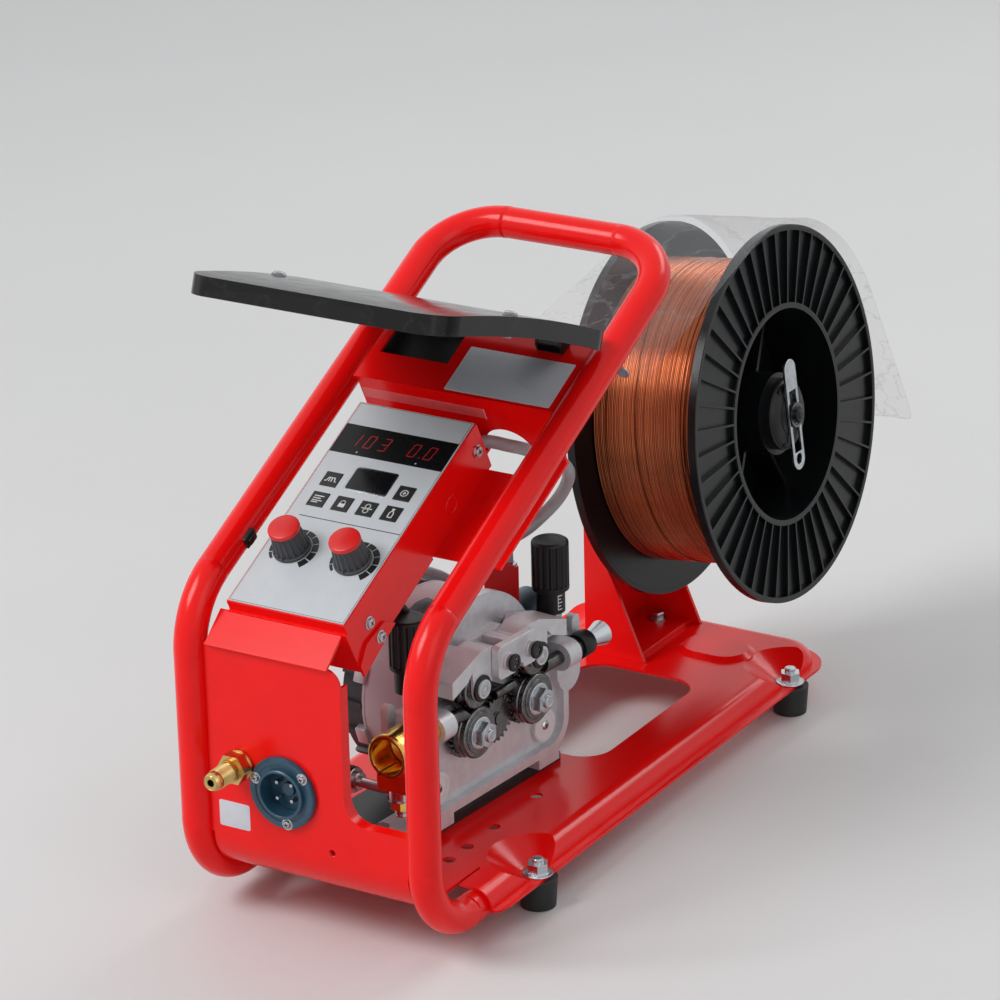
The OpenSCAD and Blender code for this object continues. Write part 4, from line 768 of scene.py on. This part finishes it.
def roll_details():
    for s, end in ENDS:
        m = facing(DRIVE, 0, s * ROLL_V, ROLL_Z, (1, 0, 0))
        # Turned rings on the drive roll, its washer and the stud's centre
        p = Part()
        for x in (24.6, 26.4, 31.2):
            p.lathe(m, [(17.2, x - 0.5), (18.05, x - 0.3), (18.1, x), (18.05, x + 0.3), (17.2, x + 0.5)], 72)
        p.lathe(m, [(11, 33.4), (14.2, 33.4), (14.5, 33.7), (14.2, 34), (11, 34.2)], 60)
        p.done(f"{end}_roll_rings", STEEL, f"{end}_drive")
        q = Part()
        q.lathe(m, [(0, 43.6), (1.3, 43.6), (1.6, 42.9), (3.4, 43.7), (4.3, 43.3), (4.6, 42.6), (4.2, 42.1),
                    (4.6, 41.6), (4.2, 41)], 30)
        q.lathe(m, [(7.6, 41.0), (7.9, 41.15), (6.2, 41.5), (4.7, 41.5)], 30)
        q.lathe(m, [(9, 34.9), (10.6, 34.9), (11.3, 34.6), (11.3, 34), (9, 33.9)], 48)
        q.done(f"{end}_stud_tip", ZINC, f"{end}_drive")
        # Black ring and bright bolt over the pressure roll's pin
        r = Part()
        m = facing(DRIVE, 0, s * ROLL_V, PRESS_Z, (1, 0, 0))
        r.lathe(m, [(6.4, 35.6), (9.3, 35.6), (9.3, 36.9), (8.8, 37.4), (6.6, 37.5), (6.4, 37.2)], 48)
        r.done(f"{end}_arm_ring", BLACK, f"{end}_arm")
        b = Part()
        b.lathe(m, [(0, 38.4), (5.2, 38.4), (6.1, 38.1), (6.6, 37.6), (6.6, 36)], 40)
        b.lathe(m, [(2.2, 38.35), (2.2, 39), (4.6, 39), (4.9, 38.8), (4.9, 38.35)], 36)
        b.done(f"{end}_arm_bolt", ZINC, f"{end}_arm")


def sleeve_mark(part, m, angles, z0, z1, r=10.08):
    """Thin mark that follows the knob's round sleeve through the given angles."""
    t = bmesh.new()
    rows = [[t.verts.new((r * math.cos(a), r * math.sin(a), z)) for a in map(math.radians, angles)]
            for z in (z0, z1)]
    for k in range(len(angles) - 1):
        t.faces.new((rows[0][k], rows[0][k + 1], rows[1][k + 1], rows[1][k]))
    part.put(t, m)


def knob_details():
    for s, end in ENDS:
        m = at(DRIVE, 12, s * 81.5, 148.8)
        # White marks of the spring scale, wrapped on the smooth sleeve
        p = Part()
        a0 = -24
        for i in range(5):
            span = 20 if i % 2 == 0 else 13
            z = 3 + 2.5 * i
            sleeve_mark(p, m, [a0 + span * k / 4 for k in range(5)], z, z + 0.8)
        sleeve_mark(p, m, [a0 - 2, a0 - 0.5, a0 + 1], 3, 13.8)
        p.done(f"{end}_knob_marks", WHITE_PRINT, f"{end}_knob")
        q = Part()
        q.lathe(m, [(9.8, 14.6), (10.5, 14.9), (10.7, 15.6), (12.7, 16.3), (13.05, 17), (13.05, 18.2)], 48)
        q.lathe(m, [(13, 50.2), (12.6, 51.3), (11.2, 52.25), (8, 52.3), (7.6, 51.9), (0, 51.9)], 48)
        q.done(f"{end}_knob_trim", BLACK, f"{end}_knob")


def casting_details():
    p = Part()
    # Cap screws on the bridge
    for s in (-1, 1):
        m = facing(DRIVE, 0, s * 13, 152, (1, 0, 0))
        p.slot = 0
        p.lathe(m, [(3.2, 48.4), (3.2, 49.5), (5.5, 49.55), (6.15, 49), (6.2, 47.6)], 36)
        p.slot = 1
        p.hexagon(m, 5.2, 48.3, 48.6, 15, 0)
    p.done("bridge_cap_screws", [BLACK, PRINT])
    # Screws and rims of the white discs
    q, r = Part(), Part()
    for s in (-1, 1):
        m = facing(DRIVE, 19, s * 62, 71, (1, 0, 0))
        r.lathe(m, [(8.4, -0.05), (8.6, 0.35), (11.3, 0.45), (12.1, -0.1), (12.15, -1.2)], 48)
        q.slot = 0
        q.lathe(m, [(0, 0), (3.4, 0), (3.4, 0.3), (2.6, 1.1), (0, 1.4)], 24)
        # Cross slot drawn as two black bars: painted shade of the recess
        q.slot = 1
        for a in (0, 90):
            q.box(m @ Matrix.Rotation(math.radians(a + 30), 4, "Z"), (-1.8, -0.35, 1.1), (1.8, 0.35, 1.45))
    q.done("disc_screws", [ZINC, BLACK])
    r.done("disc_rims", WHITE)
    # Cast boss rims round the drive shafts, and the black neck of the inlet guide
    c = Part()
    for s in (-1, 1):
        m = facing(DRIVE, 0, s * ROLL_V, ROLL_Z, (1, 0, 0))
        c.lathe(m, [(11, 15.9), (13.4, 15.9), (12.8, 16.7), (11, 17)], 44)
    c.done("shaft_boss_rims", CASTING)
    n = Part()
    m = facing(DRIVE, GROOVE_X, 101, WIRE_Z, (0, 1, 0))
    n.lathe(m, [(4, -14.5), (8.8, -14.5), (9.2, -13.8), (9.2, -2.6), (8.6, -1.6), (5.2, -1.2)], 40)
    n.done("inlet_neck", BLACK)


roll_details()
knob_details()
casting_details()


# ---------------------------------------------------------------- motor, valve, hose and cable
CABLE = [(15, 181, 283), (15, 190, 287.6), (20, 198.5, 289.5), (32, 206.5, 286), (40, 219, 280),
         (48, 242, 267), (42, 268, 247), (26, 281, 222), (12, 268, 204), (4, 252, 197)]
HOSE_PTS = [(-51.3, 26, 119), (-51.3, 34, 119), (-53, 50, 122), (-60, 84, 132), (-64, 140, 152),
            (-63, 190, 169), (-60, 224, 171), (-55, 252, 159), (-46, 265, 146)]


def in_base(x, v, z):
    return tuple(BASE.inverted() @ DRIVE @ Vector((x, v, z)))


def lines_and_fittings():
    cable = CABLE + [in_base(-16, 70, 190), in_base(-16, 70, 183)]
    hose = HOSE_PTS + [in_base(-56, 86, 141), in_base(-46, 86, 141)]
    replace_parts(wire("cable_jacket", BASE, [spline(cable, 10)], 4.5, HOSE, sides=6), "control_cable")
    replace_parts(wire("hose_wall", BASE, [spline(hose, 10)], 4.5, HOSE, sides=6), "gas_hose")
    # Gland at the box and clamps on the valve
    g = Part()
    m = facing(BASE, 15, 181, 283, (0, 0.89, 0.45))
    g.lathe(m, [(4.6, 6.5), (6.6, 6), (7.2, 3.4), (7.2, 0.6), (8.4, 0), (8.4, -1.4), (4.6, -1.4)], 36)
    g.done("cable_gland_box", WHITE)
    z = Part()
    m = at(DRIVE, -16, 70, 0)
    z.lathe(m, [(4.6, 176.4), (6.6, 176.4), (6.6, 176), (7, 176), (7, 180.8), (6.6, 181.4), (4.6, 181.8)], 36)
    m = facing(DRIVE, -38, 86, 141, (-1, 0, 0))
    z.lathe(m, [(4.5, 0), (5.7, 0), (5.9, 0.4), (5.9, 6.4), (5.7, 6.8), (4.5, 6.8)], 32)
    z.box(m, (-2.2, 5.4, 0.8), (2.2, 8.8, 6), 0.5)
    z.done("clamps_on_valve", ZINC)
    b = Part()
    m = facing(DRIVE, -16, 100, 141, (0, 1, 0))
    b.lathe(m, [(0, 0.6), (7.6, 0.6), (8, 0.2), (8, -1), (10.9, -1.2)], 40)
    b.hexagon(m, 9, 0, 4, 10, 0.5)
    b.done("valve_nut", ZINC)
    # Loom from the box's foot to the motor
    arcs = []
    for k in range(4):
        w = 5 * k
        arcs.append(spline([(-14 + w, 70 + 3 * k, 232 - k), (-8 + w, 84 + 4 * k, 216 - k),
                            (2 + w * 0.8, 98 + 3 * k, 203 - 2 * k), (2 + w * 0.6, 118 + 2 * k, 190 - k),
                            (-2 + w * 0.5, 142, 188 + 0.5 * k), (-6 + w * 0.4, 160, 183.6 - 0.4 * k)], 8))
    wire("motor_loom", BASE, arcs, 2.4, LOOM, sides=3)


lines_and_fittings()


def motor_details():
    # Seams, terminal lug and tie bolts of the motor
    p = Part()
    m = facing(DRIVE, 0, 0.5, 118, (1, 0, 0))
    p.lathe(m, [(64.9, -41.6), (65.35, -41.2), (65.35, -39.4), (64.9, -39)], 96)
    p.lathe(m, [(64.9, -5), (65.3, -4.6), (65.3, -3.4), (64.9, -3)], 96)
    p.done("motor_bands", MOTOR)
    q = Part()
    for a in (200, 160, 20, 340):
        r = math.radians(a)
        y, z = math.cos(r), math.sin(r)
        c = facing(DRIVE, -43.5, 0.5 + 64 * y, 118 + 64 * z, (0, y, z))
        q.prism(c, rounded(9, 13, 1.2), -2, 4, 0.6)
    q.done("motor_lugs", CAST)
    h = Part()
    h.lathe(m, [(50, 8), (50, 8.5), (56, 8.9), (62, 8.5), (67.2, 7.9), (68.15, 6.8), (68.15, 2)], 110)
    h.done("housing_rim", CAST)


motor_details()


# ---------------------------------------------------------------- spool
def winding():
    turns, rings, r = 68, 72, 0.74
    x0, x1, radius = -96.4, -6.6, 108.8
    path = []
    for i in range(turns * rings + 1):
        a = 2 * math.pi * i / rings
        wave = 0.12 * math.sin(a * 0.37) + 0.1 * math.sin(a * 1.13 + 1)
        path.append((x0 + (x1 - x0) * i / (turns * rings), (radius + wave) * math.cos(a),
                     (radius + wave) * math.sin(a)))
    o = wire("copper_turns", HUB, [path], r, COPPER, "spool", 1)
    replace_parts(o, "wire_winding")
    # Strands that cross the layer beneath at a slant, in a darker copper that is painted shade
    strands = []
    for x_a, x_b, a_a, a_b in ((-70, -52, 60, 330), (-30, -22, 20, 380), (-20, -27, -20, 300),
                               (-24, -19, 80, 420), (-88, -84, 40, 390)):
        line = []
        for k in range(81):
            t = k / 80
            a = math.radians(a_a + (a_b - a_a) * t)
            rr = 109.62 - 0.9 * (abs(2 * t - 1) ** 6)
            line.append((x_a + (x_b - x_a) * t + 1.5 * math.sin(a), rr * math.cos(a), rr * math.sin(a)))
        strands.append(line)
    wire("crossing_strands", HUB, strands, 0.5, COPPER_PAINTED_SHADE, "spool", 2)


winding()


def hub_details():
    m = facing(HUB, 0, 0, 0, (1, 0, 0))
    p = Part()
    p.lathe(m, [(3.6, 5.6), (8.6, 5.7), (9.2, 6.2), (9.2, 7.2), (6.4, 7.5)], 40)
    p.hexagon(m, 10.4, 7.2, 10.2, 12, 0.6)
    p.lathe(m, [(0, 11), (2.2, 10.9), (3, 10.3), (3.2, 9.6)], 20)
    p.done("hub_bolt", BLACK)
    q = Part()
    q.lathe(m, [(15, 2.6), (20.5, 2.2), (23.2, 0.6), (24.6, -0.9), (25.2, -2.6), (25.4, -6)], 56)
    for a in (60, 120, 240, 300):
        r = math.radians(a)
        q.box(m @ Matrix.Rotation(r, 4, "Z"), (15.5, -1.4, -0.4), (24, 1.4, 1.9), 0.4)
    q.done("hub_cap", BLACK, "spool")
    # Lip of each flange and shallow steps of the barrel's mouth
    e = Part()
    for x, d in ((0, 1), (-103, -1)):
        n = facing(HUB, x, 0, 0, (d, 0, 0))
        e.lathe(n, [(131.6, -0.4), (131.8, 0.15), (134, 0.2), (134.9, -0.5), (135, -3), (134.9, -5.2),
                    (134.2, -5.9), (131.9, -6.1)], 132)
        e.lathe(n, [(75.7, -3), (75.9, -0.2), (77.6, 0.15), (79.3, 0), (79.8, -0.8)], 96)
    e.done("flange_lips", SPOOL, "spool")


hub_details()


# ---------------------------------------------------------------- clear cover
def on_slope(s, h):
    a = math.radians(SLOPE_DEG)
    return s * math.cos(a) - h * math.sin(a), 223 + s * math.sin(a) + h * math.cos(a)


def cover():
    x_side, front, r, a0, a1 = (-96, 8), (-8, 108), 139.5, 102, 22
    hub = BASE.inverted() @ HUB
    rows = []
    for side in (0, 1):
        x = x_side[side]
        lap = [Vector((front[side], *on_slope(286.5, h))) for h in (-33, -25)]
        pts = [lap[0], lap[0].lerp(lap[1], 0.5)]

        def round_pt(a):
            return hub @ Vector((x, r * math.cos(math.radians(a)), r * math.sin(math.radians(a))))
        top = round_pt(a0)
        pts += [lap[1].lerp(top, k / 9) for k in range(9)]
        pts += [round_pt(a0 + (a1 - a0) * k / 26) for k in range(27)]
        tail = hub @ Vector((x, 174.5, -60))
        pts += [round_pt(a1).lerp(tail, k / 8) for k in range(1, 9)]
        rows.append(pts)
    n, across = len(rows[0]), 14
    t = bmesh.new()
    grid = []
    for i in range(n):
        line = []
        for j in range(across + 1):
            q = rows[0][i].lerp(rows[1][i], j / across)
            free = min(1, max(0, (i - 2) / 6))
            dz = 0.8 * math.sin(i * 0.9 + j * 0.5) + 0.7 * math.sin(j * 1.1 - i * 0.35)
            q.z += free * dz * (0.35 if i < n - 8 else 0.9)
            line.append(t.verts.new(BASE @ q))
        grid.append(line)
    for i in range(n - 1):
        for j in range(across):
            t.faces.new((grid[i][j], grid[i + 1][j], grid[i + 1][j + 1], grid[i][j + 1]))
    p = Part()
    p.put(t, Matrix.Identity(4))
    o = p.done("cover_film", FILM, smooth=60)
    wall = o.modifiers.new("thickness", "SOLIDIFY")
    wall.thickness = 0.0004
    wall.offset = 0
    soft = o.modifiers.new("smooth", "SUBSURF")
    soft.levels = soft.render_levels = 1
    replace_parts(o, "spool_cover")
    # Washers and screws that hold the film to the tray's back
    w = Part()
    for x in (4, 48, 84):
        y, z = on_slope(287.4, -29)
        m = facing(BASE, x, y, z, (0, math.cos(math.radians(SLOPE_DEG)), math.sin(math.radians(SLOPE_DEG))))
        w.lathe(m, [(0, -0.6), (5, -0.6), (5, 0.1), (3.4, 0.4)], 28)
        cross_head(w, m, 3, 0.2)
    w.done("film_screws", [ZINC, BLACK])


cover()


# ---------------------------------------------------------------- chassis hardware
def chassis_hardware():
    p = Part()
    # Bolts of the spool bracket through the deck
    for x, y in ((-24, 446), (-24, 506)):
        m = at(BASE, x, y, 39.3)
        p.lathe(m, [(0, 0), (7.5, 0), (7.5, 1.2), (5, 1.4)], 30)
        p.hexagon(m, 10, 1.2, 6, 8, 0.6)
    # Stud ends over the foot nuts
    for x, y in ((100, 120), (-100, 120), (101, 481), (-101, 481)):
        m = at(BASE, x, y, 0)
        p.lathe(m, [(3.4, 31), (4.05, 31.2), (4.05, 33.6), (3.4, 34.4), (0, 34.5)], 24)
        p.lathe(m, [(8, 23.1), (10.2, 23.1), (10.4, 23.5), (10.2, 24), (7, 24.3)], 36)
    p.done("deck_bolts", ZINC)
    # Weld beads where the tray meets the tube
    w = Part()
    for s in (-1, 1):
        for k in range(24):
            m = facing(SLOPE, s * 78.7, 215 + 3 * k, 3.4, (0, 1, 0))
            w.lathe(m, [(0, -2), (1.2, -1.6), (1.6, 0), (1.2, 1.6), (0, 2)], 8)
    w.done("tray_weld", RED)


chassis_hardware()


# ---------------------------------------------------------------- stage and light
def stage():
    p = Part()
    p.prism(Matrix.Identity(4), [(-9, -9), (9, -9), (9, 14), (-9, 14)], -0.02, -0.0002)
    floor = p.done("floor", material("pale_floor", rgb(222, 222, 222), rgb(214, 214, 215), 0.6, 0.1, 1.2, 0.5,
                                     60, 0.0002))
    floor.parent = None
    del floor["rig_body"]


def area_light(name, at_, target, size, power):
    light = bpy.data.lights.new(name, "AREA")
    light.shape = "RECTANGLE"
    light.size, light.size_y = size
    light.energy = power
    o = bpy.data.objects.new(name, light)
    o.location = at_
    o.rotation_euler = (Vector(target) - Vector(at_)).to_track_quat("-Z", "Y").to_euler()
    bpy.context.scene.collection.objects.link(o)


def world():
    w = bpy.data.worlds.new("studio")
    bpy.context.scene.world = w
    w.use_nodes = True
    net = Net(w.node_tree)
    w.node_tree.nodes.clear()
    path = net.add("ShaderNodeLightPath", {}).outputs
    mirrored = net.math("MAXIMUM", path["Is Glossy Ray"], path["Is Transmission Ray"])
    seen = net.math("MAXIMUM", path["Is Camera Ray"], mirrored)
    strength = net.ramp(seen, 0, 1, 0.42, 1.0)
    bg = net.add("ShaderNodeBackground", {"Color": (0.93, 0.94, 0.95, 1), "Strength": strength})
    net.add("ShaderNodeOutputWorld", {"Surface": bg.outputs[0]})


stage()
world()
area_light("key", (-1.5, -2.2, 2.7), (0, 0, 0.2), (1.6, 1.6), 75)
area_light("fill", (2.4, -1.2, 1.6), (0, 0, 0.2), (1.6, 1.6), 7)
area_light("rim", (0.6, 2.4, 2.2), (0, 0, 0.25), (1.8, 1.0), 24)
bpy.context.scene.view_settings.view_transform = "Standard"
